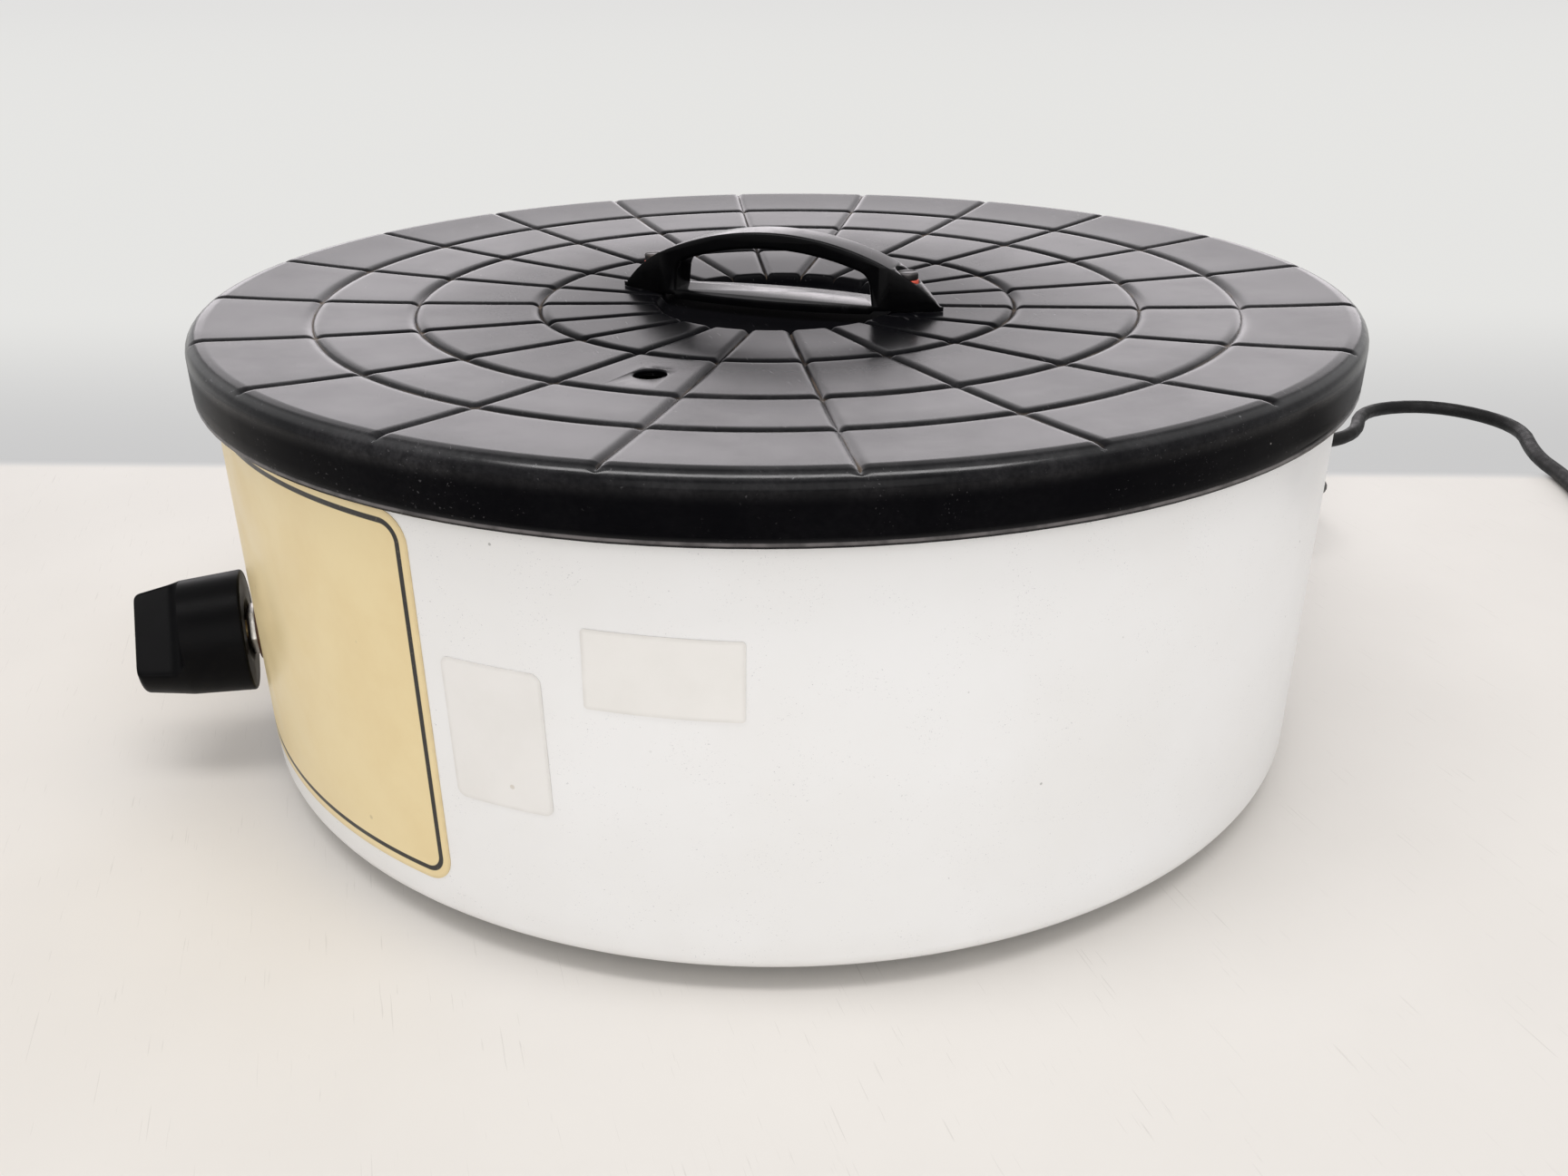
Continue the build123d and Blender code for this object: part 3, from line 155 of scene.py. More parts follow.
# ---------------------------------------------------------------- finishes
def black_lid_finish():
    """Black stoved enamel on pressed sheet: smooth pads, dusty grooves, a few rubs at the rim, and a painted
    reflection along the skirt's edge.
    """
    f = Finish("lid_enamel", (0.004, 0.004, 0.005), 0.2, IOR=1.2)
    where = f.place()
    broad = f.noise(where, 34, 5.0, 0.6)
    grooved = f.add("Attribute", attribute_name="groove").outputs["Fac"]
    rim = f.add("Attribute", attribute_name="rim").outputs["Fac"]
    flat = f.add("VectorMath", {0: where, 1: (1, 1, 0)}, operation="MULTIPLY").outputs[0]
    spread = f.add("VectorMath", {0: flat}, operation="LENGTH").outputs["Value"]
    # patches of dust in the grooves, thicker towards the middle
    near_middle = f.step(spread, 110, 150, 0.85, 0.55)
    dust_patches = f.step(f.noise(where, 22, 6.0, 0.62), 0.4, 0.72)
    dust = f.sums("MULTIPLY", f.step(grooved, 0.6, 0.95), dust_patches)
    dust = f.sums("MULTIPLY", dust, near_middle)
    height = f.add("SeparateXYZ", {0: where}).outputs["Z"]
    # 0 on the upright skirt, 1 on the dished top
    top = f.step(height, 130.5, 135)
    marks = f.sums("MAXIMUM", scratches(f, 0.8, 0.68, (0, 0, 0.5)), scratches(f, 0.7, 0.69, (0, 0, 2.1)))
    # a thin grey film of dust over the top
    film_grain = f.step(f.noise(where, 1.6, 5.0, 0.7), 0.3, 0.7, 0.3, 1.0)
    film = f.sums("MULTIPLY", f.step(broad, 0.35, 0.75, 0.1, 0.8), film_grain)
    film = f.sums("MULTIPLY", film, f.step(top, 0.0, 1.0, 0.15, 1.0))
    base = f.mix(film, (0.0015, 0.0015, 0.0022), (0.030, 0.029, 0.031))
    base = f.mix(f.sums("MULTIPLY", marks, 0.3), base, (0.14, 0.135, 0.14))
    base = f.mix(dust, base, (0.22, 0.17, 0.13))
    chips = f.sums("MULTIPLY", f.step(f.noise(where, 2.6, 5.0, 0.7), 0.64, 0.72), f.step(rim, 0.35, 0.9))
    base = f.mix(f.sums("MULTIPLY", chips, 0.35), base, (0.30, 0.30, 0.32))
    light_specks = f.step(f.specks(where, 9), 0.022, 0.034, 0.5, 0.0)
    light_specks = f.sums("MULTIPLY", light_specks, f.step(f.noise(where, 30, 2.0), 0.5, 0.58))
    base = f.mix(light_specks, base, (0.45, 0.43, 0.42))
    # a painted reflection: a lighter grey line just above the skirt's edge, where the rolled hem would catch the
    # bench's light
    painted_hem_reflection = f.sums("SUBTRACT", f.step(height, 121.8, 122.1), f.step(height, 122.5, 122.8))
    painted_hem_reflection = f.sums("MULTIPLY", painted_hem_reflection, f.step(f.noise(where, 7, 4.0), 0.3, 0.6, 0.4, 1.0))
    base = f.mix(painted_hem_reflection, base, (0.13, 0.12, 0.12))
    f.colour(base)
    rough = f.step(broad, 0.3, 0.75, 0.17, 0.25)
    rough = f.sums("ADD", rough, f.sums("MULTIPLY", dust, 0.5))
    rough = f.sums("ADD", rough, f.sums("MULTIPLY", chips, 0.3), clamp=True)
    f.rough(rough)
    f.bump(f.noise(where, 2.4, 3.0), 0.0015, 0.3)
    f.bump(f.noise(where, 22, 3.0), 0.05, 0.3)
    f.bump(marks, 0.012, 0.6)
    # the upright skirt and the recess return less light than the pads, and the recess is matt
    matt = f.step(spread, 36.5, 38.2, 0.9, 0.3)
    side = f.add("BsdfPrincipled", {"Base Color": base, "Roughness": matt, "IOR": 1.08, "Normal": f.bumped})
    faced = f.add("MixShader", {0: top, 1: side.outputs[0], 2: f.shader.outputs[0]})
    # handling has polished the roll at the rim
    polish = f.step(f.noise(where, 3.5, 4.0, 0.6), 0.3, 0.7, 0.13, 0.24)
    gloss = f.add("BsdfPrincipled", {"Base Color": base, "Roughness": polish, "IOR": 1.5, "Normal": f.bumped})
    f.surface(f.add("MixShader", {0: rim, 1: faced.outputs[0], 2: gloss.outputs[0]}).outputs[0])
    return f.material


def black_moulding(name, shade, roughness, rub, index):
    """Black moulding with cloudy gloss and rubbed edges."""
    dark = (shade, shade, shade * 1.15)
    f = Finish(name, dark, roughness, IOR=index)
    where = f.place()
    cloud = f.noise(where, 8, 5.0, 0.6)
    worn = f.add("NewGeometry").outputs["Pointiness"]
    worn = f.sums("MULTIPLY", f.step(worn, 0.54, 0.66), f.step(f.noise(where, 3, 4.0), 0.4, 0.7))
    base = f.mix(f.step(cloud, 0.4, 0.8, 0, 0.5), dark, (shade * 2.2, shade * 2.1, shade * 2.3))
    f.colour(f.mix(f.sums("MULTIPLY", worn, rub), base, (0.10, 0.10, 0.11)))
    rough = f.step(cloud, 0.3, 0.8, roughness - 0.03, roughness + 0.08)
    f.rough(f.sums("ADD", rough, f.sums("MULTIPLY", worn, 0.2)))
    f.bump(f.noise(where, 0.9, 3.0), 0.004, 0.4)
    f.bump(scratches(f, 0.35, 0.67, (0.3, 0.2, 0.7)), 0.008, 0.5)
    return f.material


def white_drum_finish():
    """White stoved enamel: a faint orange peel, a little yellowing, grey rubs and small chips."""
    f = Finish("drum_enamel", (0.80, 0.775, 0.755), 0.34, IOR=1.5)
    where = f.place()
    tint = f.step(f.noise(where, 70, 4.0, 0.55), 0.3, 0.72)
    base = f.mix(tint, (0.82, 0.82, 0.82), (0.79, 0.785, 0.775))
    height = f.add("SeparateXYZ", {0: where}).outputs["Z"]
    # darker and browner towards the bottom, in blotches
    darkened = f.step(height, 6, 20, 0.25, 0.0)
    base = f.mix(f.sums("MULTIPLY", darkened, f.noise(where, 18, 5.0)), base, (0.52, 0.48, 0.43))
    rubs = f.sums("MAXIMUM", scratches(f, 0.5, 0.68, (0, 0.9, 0.3), 10),
                  scratches(f, 0.4, 0.68, (0, -0.5, 1.6), 16))
    base = f.mix(f.sums("MULTIPLY", rubs, 0.5), base, (0.30, 0.30, 0.33))
    few = f.step(f.noise(where, 40, 2.0), 0.56, 0.64)
    chips = f.sums("MULTIPLY", f.step(f.specks(where, 9), 0.035, 0.055, 1.0, 0.0), few)
    base = f.mix(f.sums("MULTIPLY", chips, 0.6), base, (0.2, 0.19, 0.18))
    f.colour(base)
    f.rough(f.step(f.noise(where, 24, 4.0), 0.3, 0.75, 0.28, 0.42))
    f.bump(f.noise(where, 1.6, 2.0), 0.012, 0.5)
    f.bump(rubs, 0.02, 0.5)
    return f.material


def metal(name, colour, roughness, grain=0.5, tarnish=(0.3, 0.25, 0.2), tarnish_share=0.3):
    """Bare or plated metal with uneven polish and some tarnish."""
    f = Finish(name, colour, roughness, 1.0)
    where = f.place()
    cloud = f.noise(where, 5, 5.0, 0.6)
    fine = f.noise(f.place((1, 1, 9)), grain, 3.0)
    f.colour(f.mix(f.step(cloud, 0.45, 0.8, 0.0, tarnish_share), colour, tarnish))
    f.rough(f.sums("ADD", f.step(cloud, 0.3, 0.8, roughness - 0.06, roughness + 0.12),
                   f.sums("MULTIPLY", fine, 0.08)))
    f.bump(fine, 0.008, 0.5)
    return f.material


def soft_black(name, shade, roughness, grain=0.7, dusty=0.35, index=1.5):
    """Rubber or soft plastic: matt, finely grained, greyed with dust."""
    f = Finish(name, (shade, shade, shade), roughness, IOR=index)
    where = f.place()
    dust = f.step(f.noise(where, 12, 5.0, 0.65), 0.45, 0.75)
    f.colour(f.mix(f.sums("MULTIPLY", dust, dusty), (shade, shade, shade), (0.10, 0.095, 0.09)))
    f.rough(f.step(f.noise(where, 5, 4.0), 0.3, 0.75, roughness - 0.08, roughness + 0.12))
    f.bump(f.noise(where, grain, 3.0), 0.02, 0.5)
    return f.material


def coated(name, colour, other, roughness, size=6.0, relief=0.02, grain=0.8):
    """A plain moulded or painted stuff: two near tones, uneven gloss and a fine grain."""
    f = Finish(name, colour, roughness, IOR=1.5)
    where = f.place()
    f.colour(f.mix(f.step(f.noise(where, size, 5.0, 0.6), 0.35, 0.7), colour, other))
    f.rough(f.step(f.noise(where, size * 0.6, 4.0), 0.3, 0.75, roughness - 0.08, roughness + 0.1))
    f.bump(f.noise(where, grain, 3.0), relief, 0.6)
    return f.material


def blanket_finish():
    """Glass-fibre blanket: pale yellow matted fibres."""
    f = Finish("glass_fibre", (0.62, 0.55, 0.34), 0.9)
    where = f.place()
    strands = f.noise(f.place((0.15, 1, 1), (0.4, 0.3, 0.2)), 0.9, 6.0, 0.7, 1.5)
    cross = f.noise(f.place((1, 0.15, 1), (0.2, -0.5, 0.9)), 0.8, 6.0, 0.7, 1.5)
    f.colour(f.mix(f.step(strands, 0.35, 0.7), (0.50, 0.42, 0.22), (0.74, 0.68, 0.48)))
    f.bump(f.sums("ADD", strands, cross), 0.8, 0.8)
    f.bump(f.noise(where, 9, 3.0), 1.2, 0.6)
    return f.material


def lens_finish():
    """Clear amber plastic lens, ribbed inside."""
    f = Finish("amber_lens", (0.85, 0.30, 0.05), 0.12, IOR=1.49, Transmission_Weight=0.55)
    where = f.place()
    f.colour(f.mix(f.step(f.noise(where, 3, 3.0), 0.3, 0.7), (0.80, 0.26, 0.04), (0.95, 0.42, 0.10)))
    rings = f.add("TexWave", {"Vector": where, "Scale": 0.35}, wave_type="RINGS").outputs["Fac"]
    f.bump(rings, 0.05, 0.4)
    return f.material


def film_finish(name, colour, other, shape, line=0.0, inset=0.0, edge=(0.55, 0.53, 0.5)):
    """Printed film: two near tones, a soiled edge and, where line is its width, a rounded border line."""
    half_width, half_height, corner = shape
    f = Finish(name, colour, 0.38, IOR=1.5)
    # the film's own map, from its middle, in millimetres
    sheet = f.add("SeparateXYZ", {0: f.add("UVMap", uv_map="film").outputs[0]})
    x = f.sums("MULTIPLY", f.sums("SUBTRACT", sheet.outputs[0], 0.5), 1000)
    y = f.sums("MULTIPLY", f.sums("SUBTRACT", sheet.outputs[1], 0.5), 1000)
    # how far inside the film's rounded outline each point is
    over_x = f.sums("SUBTRACT", f.sums("ABSOLUTE", x), half_width - corner)
    over_y = f.sums("SUBTRACT", f.sums("ABSOLUTE", y), half_height - corner)
    past = f.sums("SQRT", f.sums("ADD", f.sums("POWER", f.sums("MAXIMUM", over_x, 0.0), 2.0),
                                 f.sums("POWER", f.sums("MAXIMUM", over_y, 0.0), 2.0)))
    before = f.sums("MINIMUM", f.sums("MAXIMUM", over_x, over_y), 0.0)
    inside = f.sums("SUBTRACT", corner, f.sums("ADD", past, before))
    where = f.place()
    base = f.mix(f.step(f.noise(where, 26, 5.0, 0.6), 0.35, 0.7), colour, other)
    darkened = f.sums("MULTIPLY", f.step(inside, 0.0, 1.2, 0.6, 0.0), f.noise(where, 4, 4.0))
    base = f.mix(darkened, base, edge)
    if line:
        band = f.sums("SUBTRACT", f.step(inside, inset - 0.12, inset + 0.12),
                      f.step(inside, inset + line - 0.12, inset + line + 0.12))
        worn = f.step(f.noise(where, 0.7, 4.0), 0.25, 0.4, 0.88, 1.0)
        base = f.mix(f.sums("MULTIPLY", band, worn), base, (0.007, 0.006, 0.006))
    base = f.mix(f.step(f.specks(where, 16), 0.03, 0.05, 0.35, 0.0), base, (0.35, 0.27, 0.15))
    f.colour(base)
    f.rough(f.step(f.noise(where, 15, 4.0), 0.3, 0.75, 0.3, 0.45))
    f.bump(f.noise(where, 1.1, 3.0), 0.01, 0.5)
    return f.material


def floor_finish():
    """Cream bench top with faint scratches and grit; beyond its far edge the room is a pale grey glow, with painted
    shade that darkens it near the edge.
    """
    f = Finish("bench_top", (0.76, 0.735, 0.70), 0.55)
    place = f.add("TexCoord").outputs["Object"]
    # metres from the camera along its view, and metres towards the bench's far edge
    ahead = Vector((camera_ahead.x, camera_ahead.y, 0)).normalized()
    away = f.add("VectorMath", {0: place, 1: ahead}, operation="DOT_PRODUCT").outputs["Value"]
    away = f.sums("SUBTRACT", away, camera_place.dot(ahead))
    edge = f.add("VectorMath", {0: place, 1: (-0.94082, 0.33890, 0)}, operation="DOT_PRODUCT").outputs["Value"]
    room = f.step(edge, 0.194, 0.206)
    where = f.place()
    tone = f.mix(f.step(f.noise(where, 90, 4.0), 0.3, 0.7), (0.69, 0.665, 0.63), (0.67, 0.645, 0.61))
    marks = f.sums("MAXIMUM", scratches(f, 0.7, 0.66, (0, 0, 0.9), 40), scratches(f, 0.6, 0.67, (0, 0, 2.4), 60))
    tone = f.mix(f.sums("MULTIPLY", marks, 0.3), tone, (0.42, 0.40, 0.37))
    grit = f.step(f.specks(where, 60), 0.012, 0.018, 1.0, 0.0)
    grit = f.sums("MULTIPLY", grit, f.step(f.noise(where, 150, 2.0), 0.52, 0.56))
    tone = f.mix(f.sums("MULTIPLY", grit, 0.85), tone, (0.10, 0.08, 0.07))
    f.colour(f.mix(room, tone, (0.6, 0.6, 0.6)))
    # the room's glow has painted shade: darker near the bench's edge and lighter further away; only the camera and
    # mirrored rays see it
    far = f.mix(f.step(away, 0.62, 0.98), (0.60, 0.598, 0.598), (0.79, 0.787, 0.77))
    far = f.mix(f.step(away, 1.6, 8.0), far, (0.762, 0.757, 0.748))
    rays = f.add("LightPath")
    shown = f.sums("MAXIMUM", rays.outputs["Is Camera Ray"], rays.outputs["Is Glossy Ray"])
    glow = f.add("Emission", {"Color": far, "Strength": 1.0}).outputs[0]
    amount = f.sums("MULTIPLY", room, shown)
    f.surface(f.add("MixShader", {0: amount, 1: f.shader.outputs[0], 2: glow}).outputs[0])
    return f.material


enamel_black = black_lid_finish()
enamel_white = white_drum_finish()
handle_black = black_moulding("handle_moulding", 0.002, 0.18, 0.2, 1.2)
knob_black = black_moulding("knob_moulding", 0.0025, 0.36, 0.3, 1.13)
knob_paint = coated("pointer_paint", (0.72, 0.71, 0.68), (0.60, 0.59, 0.56), 0.5, 1.5)
bowl_black = metal("bowl_anodised", (0.02, 0.02, 0.022), 0.42, 0.6, (0.06, 0.06, 0.06), 0.4)
steel = metal("zinc_steel", (0.55, 0.55, 0.54), 0.36)
nickel = metal("nickel", (0.62, 0.60, 0.56), 0.26)
brass = metal("brass", (0.68, 0.50, 0.22), 0.3, 0.5, (0.30, 0.18, 0.08), 0.5)
copper = metal("copper", (0.70, 0.34, 0.20), 0.34, 0.5, (0.22, 0.11, 0.07), 0.5)
zinc_sheet = metal("zinc_sheet", (0.58, 0.59, 0.60), 0.4, 3.0, (0.42, 0.43, 0.44), 0.6)
rubber = soft_black("foot_rubber", 0.016, 0.72)
sheath = soft_black("lead_sheath", 0.005, 0.5, 1.4, 0.12, 1.3)
plug_plastic = soft_black("plug_plastic", 0.014, 0.38, 1.0)
nylon = soft_black("nylon", 0.014, 0.45)
silicone = coated("silicone_seal", (0.50, 0.14, 0.09), (0.42, 0.11, 0.07), 0.5)
mica = coated("mica", (0.42, 0.38, 0.30), (0.62, 0.58, 0.48), 0.45, 4.0, 0.03, 2.0)
phenolic = coated("phenolic", (0.045, 0.022, 0.012), (0.08, 0.04, 0.022), 0.4, 3.0)
ceramic = coated("ceramic", (0.72, 0.70, 0.64), (0.62, 0.60, 0.54), 0.4, 3.0)
red_fibre = coated("red_fibre", (0.62, 0.06, 0.03), (0.72, 0.12, 0.07), 0.55, 1.2, 0.05, 0.4)
brown_fibre = coated("brown_fibre", (0.10, 0.04, 0.018), (0.15, 0.065, 0.03), 0.6, 1.2, 0.05, 0.4)
dark_screw = metal("dark_screw", (0.09, 0.085, 0.085), 0.42, 0.5, (0.2, 0.13, 0.09), 0.4)
red_card = coated("fuse_card", (0.50, 0.03, 0.02), (0.58, 0.05, 0.03), 0.5)
amber = lens_finish()
fibre_blanket = blanket_finish()
cream_film = film_finish("label_film", (0.79, 0.65, 0.37), (0.76, 0.61, 0.335), label_shape, 1.45, 2.3,
                         (0.45, 0.33, 0.18))
plain_film_tall = film_finish("sticker_tall", (0.79, 0.775, 0.755), (0.76, 0.745, 0.72), tall_shape)
plain_film_low = film_finish("sticker_low", (0.80, 0.785, 0.76), (0.77, 0.755, 0.725), low_shape)
bench = floor_finish()


# ---------------------------------------------------------------- ways to make a piece
def finish_piece(bm, name, finish, body, nodes, sharp, weld=0.0005, scale=MM):
    """Welds the mesh, turns its faces outwards, brings it to metres, and seats it on its body.
    Edges past the angle sharp, in degrees, stay sharp; the others are shaded smooth."""
    bmesh.ops.remove_doubles(bm, verts=bm.verts, dist=weld)
    bmesh.ops.dissolve_degenerate(bm, edges=bm.edges, dist=weld / 5)
    bmesh.ops.recalc_face_normals(bm, faces=bm.faces)
    bmesh.ops.scale(bm, vec=(scale,) * 3, verts=bm.verts)
    mesh = bpy.data.meshes.new(name)
    bm.to_mesh(mesh)
    bm.free()
    mesh.materials.append(finish)
    mesh.shade_smooth()
    mesh.set_sharp_from_angle(angle=radians(sharp))
    piece = bpy.data.objects.new(name, mesh)
    bpy.context.collection.objects.link(piece)
    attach(piece, body)
    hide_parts(*nodes)
    return piece


def rounded(corners, steps, closed=True):
    """An outline whose corners (x, y, radius) are rounded by arcs of that radius."""
    line = []
    count = len(corners)
    for i, (x, y, radius) in enumerate(corners):
        corner = Vector((x, y))
        if radius == 0 or (not closed and i in (0, count - 1)):
            line.append(corner)
            continue
        before = (Vector(corners[i - 1][:2]) - corner).normalized()
        after = (Vector(corners[(i + 1) % count][:2]) - corner).normalized()
        half = before.angle(after) / 2
        reach = radius / tan(half)
        centre = corner + (before + after).normalized() * (radius / sin(half))
        start = corner + before * reach - centre
        sweep = start.angle_signed(corner + after * reach - centre)
        for k in range(steps + 1):
            angle = -sweep * k / steps
            line.append(centre + Vector((start.x * cos(angle) - start.y * sin(angle),
                                         start.x * sin(angle) + start.y * cos(angle))))
    return line


def spun(outline, steps, closed=True):
    """A turned shape: an outline of (radius, height) spun about the Z axis."""
    bm = bmesh.new()
    points = [bm.verts.new((p[0], 0, p[1])) for p in outline]
    edges = [bm.edges.new(pair) for pair in zip(points, points[1:])]
    if closed:
        edges.append(bm.edges.new((points[-1], points[0])))
    bmesh.ops.spin(bm, geom=points + edges, cent=(0, 0, 0), axis=(0, 0, 1), angle=2 * pi, steps=steps,
                   use_merge=True)
    return bm


def copies(outline, steps, places):
    """One mesh that holds the same turned shape at several places."""
    bm = bmesh.new()
    for place in places:
        one = spun(outline, steps)
        bmesh.ops.translate(one, vec=place, verts=one.verts)
        held = bpy.data.meshes.new("copy")
        one.to_mesh(held)
        one.free()
        bm.from_mesh(held)
        bpy.data.meshes.remove(held)
    return bm


def polished(node, finish, soften, shift=None, sharp=35):
    """A CAD part with its triangles joined, so that its curves shade smoothly and its edges are softened.
    shift gives how far up each of its points moves, in millimetres."""
    source = frame["nodes"][node]
    bm = bmesh.new()
    bm.from_mesh(source.data)
    bmesh.ops.remove_doubles(bm, verts=bm.verts, dist=2e-6)
    if shift:
        for v in bm.verts:
            v.co.z += shift(v.co / MM) * MM
    bmesh.ops.dissolve_limit(bm, angle_limit=radians(1), verts=bm.verts, edges=bm.edges)
    if soften:
        edges = [e for e in bm.edges if len(e.link_faces) == 2 and e.calc_face_angle(0) > radians(38)]
        bmesh.ops.bevel(bm, geom=edges, offset=soften * MM, offset_type="OFFSET", segments=2, profile=0.5,
                        affect="EDGES", clamp_overlap=True, material=-1)
    # its mesh is in metres already
    finish_piece(bm, node + "_finished", finish, body_of[node], (node,), sharp, weld=1e-6, scale=1.0)


def eased(value, start, end):
    """0 before start, 1 after end, and a smooth rise between them."""
    t = min(max((value - start) / (end - start), 0), 1)
    return t * t * (3 - 2 * t)


def polar(distance, degrees):
    """The point at a distance from the drum's axis, that many degrees round from +X."""
    return Vector((distance * cos(radians(degrees)), distance * sin(radians(degrees)), 0))


# ---------------------------------------------------------------- mains lead
lead_radius, lead_width = 3.5, 7.0
coil_x, coil_y, coil_radius = 52.0, 424.0, 44.5
# From the strain relief down to the bench, round the hump that the photo shows, and on to the coil
lead_route = [
    (-14.345, 205.149, 34), (-15.601, 223.105, 34), (-23, 240, 31), (-38, 254, 23), (-62, 265, 11),
    (-91, 278, 3.5), (-116, 298, 3.5), (-133, 319, 3.5), (-135, 355, 3.5), (-172, 385, 3.5), (-166, 431, 3.5),
    (-123, 448, 3.5), (-83, 418, 3.5), (-53, 408, 3.5), (-24, 392, 3.5), (3, 379.5, 3.5), (25, 379.5, 3.5),
]

# The coil goes inwards a lead's width a turn on the bench, then up a layer, and outwards again.
# The curve runs inside its points, at 0.981 of their distance from the coil's middle.
points_a_turn, turns, kept_share = 16, 5.25, 0.981
for k in range(int(points_a_turn * turns)):
    done = (k + 0.5) / points_a_turn
    inwards = eased(done, 0.8, 1.0) + eased(done, 1.8, 2.0)
    outwards = eased(done, 3.25, 3.45) + eased(done, 4.25, 4.45)
    reach = (coil_radius - lead_width * inwards + lead_width * outwards) / kept_share
    level = lead_radius + lead_width * eased(done, 2.55, 2.85)
    angle = radians(-90) + 2 * pi * done
    lead_route.append((coil_x + reach * cos(angle), coil_y + reach * sin(angle), level))
# The end runs straight off the upper layer towards the plug
lead_route += [(96.5, 436, 10.5), (96.5, 448, 10.5), (96.5, 460, 10.5)]

lead_curve = bpy.data.curves.new("mains_lead_run", "CURVE")
lead_curve.dimensions = "3D"
lead_line = lead_curve.splines.new("NURBS")
lead_line.points.add(len(lead_route) - 1)
for point, (x, y, z) in zip(lead_line.points, lead_route):
    point.co = (x * MM, y * MM, z * MM, 1)
lead_line.order_u = 3
lead_line.use_endpoint_u = True
lead_line.resolution_u = 6
lead_curve.bevel_depth = lead_radius * MM
lead_curve.bevel_resolution = 5
lead_curve.use_fill_caps = True
lead_curve.materials.append(sheath)
lead = bpy.data.objects.new("mains_lead_run", lead_curve)
bpy.context.collection.objects.link(lead)
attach(lead, "bath")
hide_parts("mains_lead", "lead_coil")


# ---------------------------------------------------------------- lid
lid_radius, lid_sheet = 175.0, 2.0
rim_height, skirt_depth, groove_depth = 136.9, 15.5, 1.6
ring_circles = (74.7, 111.9, 140.9)
recess_radius, recess_floor_radius, recess_depth = 38.6, 36.0, 3.0
spoke_count, lid_turn = 20, 51.4
# The top is a shallow dish, which stands dish_sag higher at dish_reach from the axis than at its middle
dish_reach, dish_sag = 171.4, 7.1
dish_radius = (dish_reach**2 + dish_sag**2) / (2 * dish_sag)
dish_centre = rim_height - dish_sag + dish_radius
# The roll at the rim: where it starts and bends, the height of the corner it rounds, and its crown
roll_start, roll_bend, roll_corner, roll_crown = 160, 169.8, 137.2, 137.0
# The pads lose this much of their height towards the rim, and the radial grooves bite this much deeper there
rim_loss, notch_depth = 0.7, 0.5
# Points across each ring groove and each radial groove, from its line outwards
ring_steps = (0, 0.25, 0.55, 0.9, 1.35, 1.9, 2.6, 3.4)
spoke_steps = (0, 0.2, 0.45, 0.75, 1.1, 1.6, 2.2, 2.8)
ring_half, spoke_half = ring_steps[-1], spoke_steps[-1]
# The round thermometer hole in one pad: its place, the patch of the pad it takes out, and its mouth
vent_circle, vent_turn, vent_patch, vent_mouth = 94.5, lid_turn - 89, 8.2, 5.1


def dish(radius):
    """Height of the dished top at a distance from the axis."""
    return dish_centre - sqrt((dish_radius - groove_depth) ** 2 - radius**2)


def relief(radius):
    """How far the pads stand above the bottoms of the grooves: less towards the rim."""
    return groove_depth - rim_loss * eased(radius, 62, roll_start)


def pad_top(radius):
    return dish(radius) - groove_depth + relief(radius)


def groove(offset, half):
    """Depth of a groove, 1 at its line and 0 at its shoulder: a narrow valley between soft rolls."""
    t = min(abs(offset) / half, 1)
    return (1 - t) ** 3


def lid_section():
    """The lid's section from its centre to the skirt's edge: points (radius, height, groove share, rim share)."""
    # the recess: its flat floor, then its wall, where the radial grooves begin
    floor = dish(0) - recess_depth
    wall = rounded([(0, floor, 0), (recess_floor_radius, floor, 1.6), (recess_radius, dish(recess_radius), 1.6),
                    (60, dish(60), 0)], closed=False, steps=4)
    line = [(r, floor, 0, 0) for r in (0, 14, 26, 32.5)]
    line += [(p.x, p.y, eased(p.x, 35.5, 39.0), 0) for p in wall[1:-1]]
    # the pads and the ring grooves between them
    stations = [40.6, 43, 47, 53, 60, 128.0, roll_start, 163]
    for circle in ring_circles:
        stations += [circle + side * s for side in (-1, 1) for s in ring_steps]
        stations += [circle + 5, circle + 9, circle + 14]
    line += [(r, pad_top(r), 1, 0) for r in sorted(set(stations))]
    # the pads run out to a tight roll at the rim, which the radial grooves only notch
    roll = rounded([(roll_start, pad_top(roll_start), 0), (roll_bend, pad_top(roll_bend), 6),
                    (lid_radius, roll_corner, 4.2), (lid_radius, 128, 0)], closed=False, steps=14)
    for p in roll[1:-1]:
        bottom = pad_top(p.x) - relief(p.x) - notch_depth * eased(p.x, 168, 172)
        polish = eased(p.x, 172.0, 172.9) * (1 - eased(roll_crown - p.y, 0.4, 1.3))
        line.append((p.x, p.y, max(0.0, (p.y - bottom) / relief(p.x)), polish))
    # the skirt, with a slight step above its edge, where the finish paints a lighter line as a reflection
    bottom = rim_height - skirt_depth
    line += [(lid_radius + inwards, bottom + z, 0, share) for inwards, z, share in (
        (0, 8, 0), (0, 5, 0), (0, 2.4, 0), (-0.3, 1.7, 0.2), (-0.1, 1.2, 0.5), (0, 0.6, 0.5), (-0.2, 0, 0.2))]
    return line


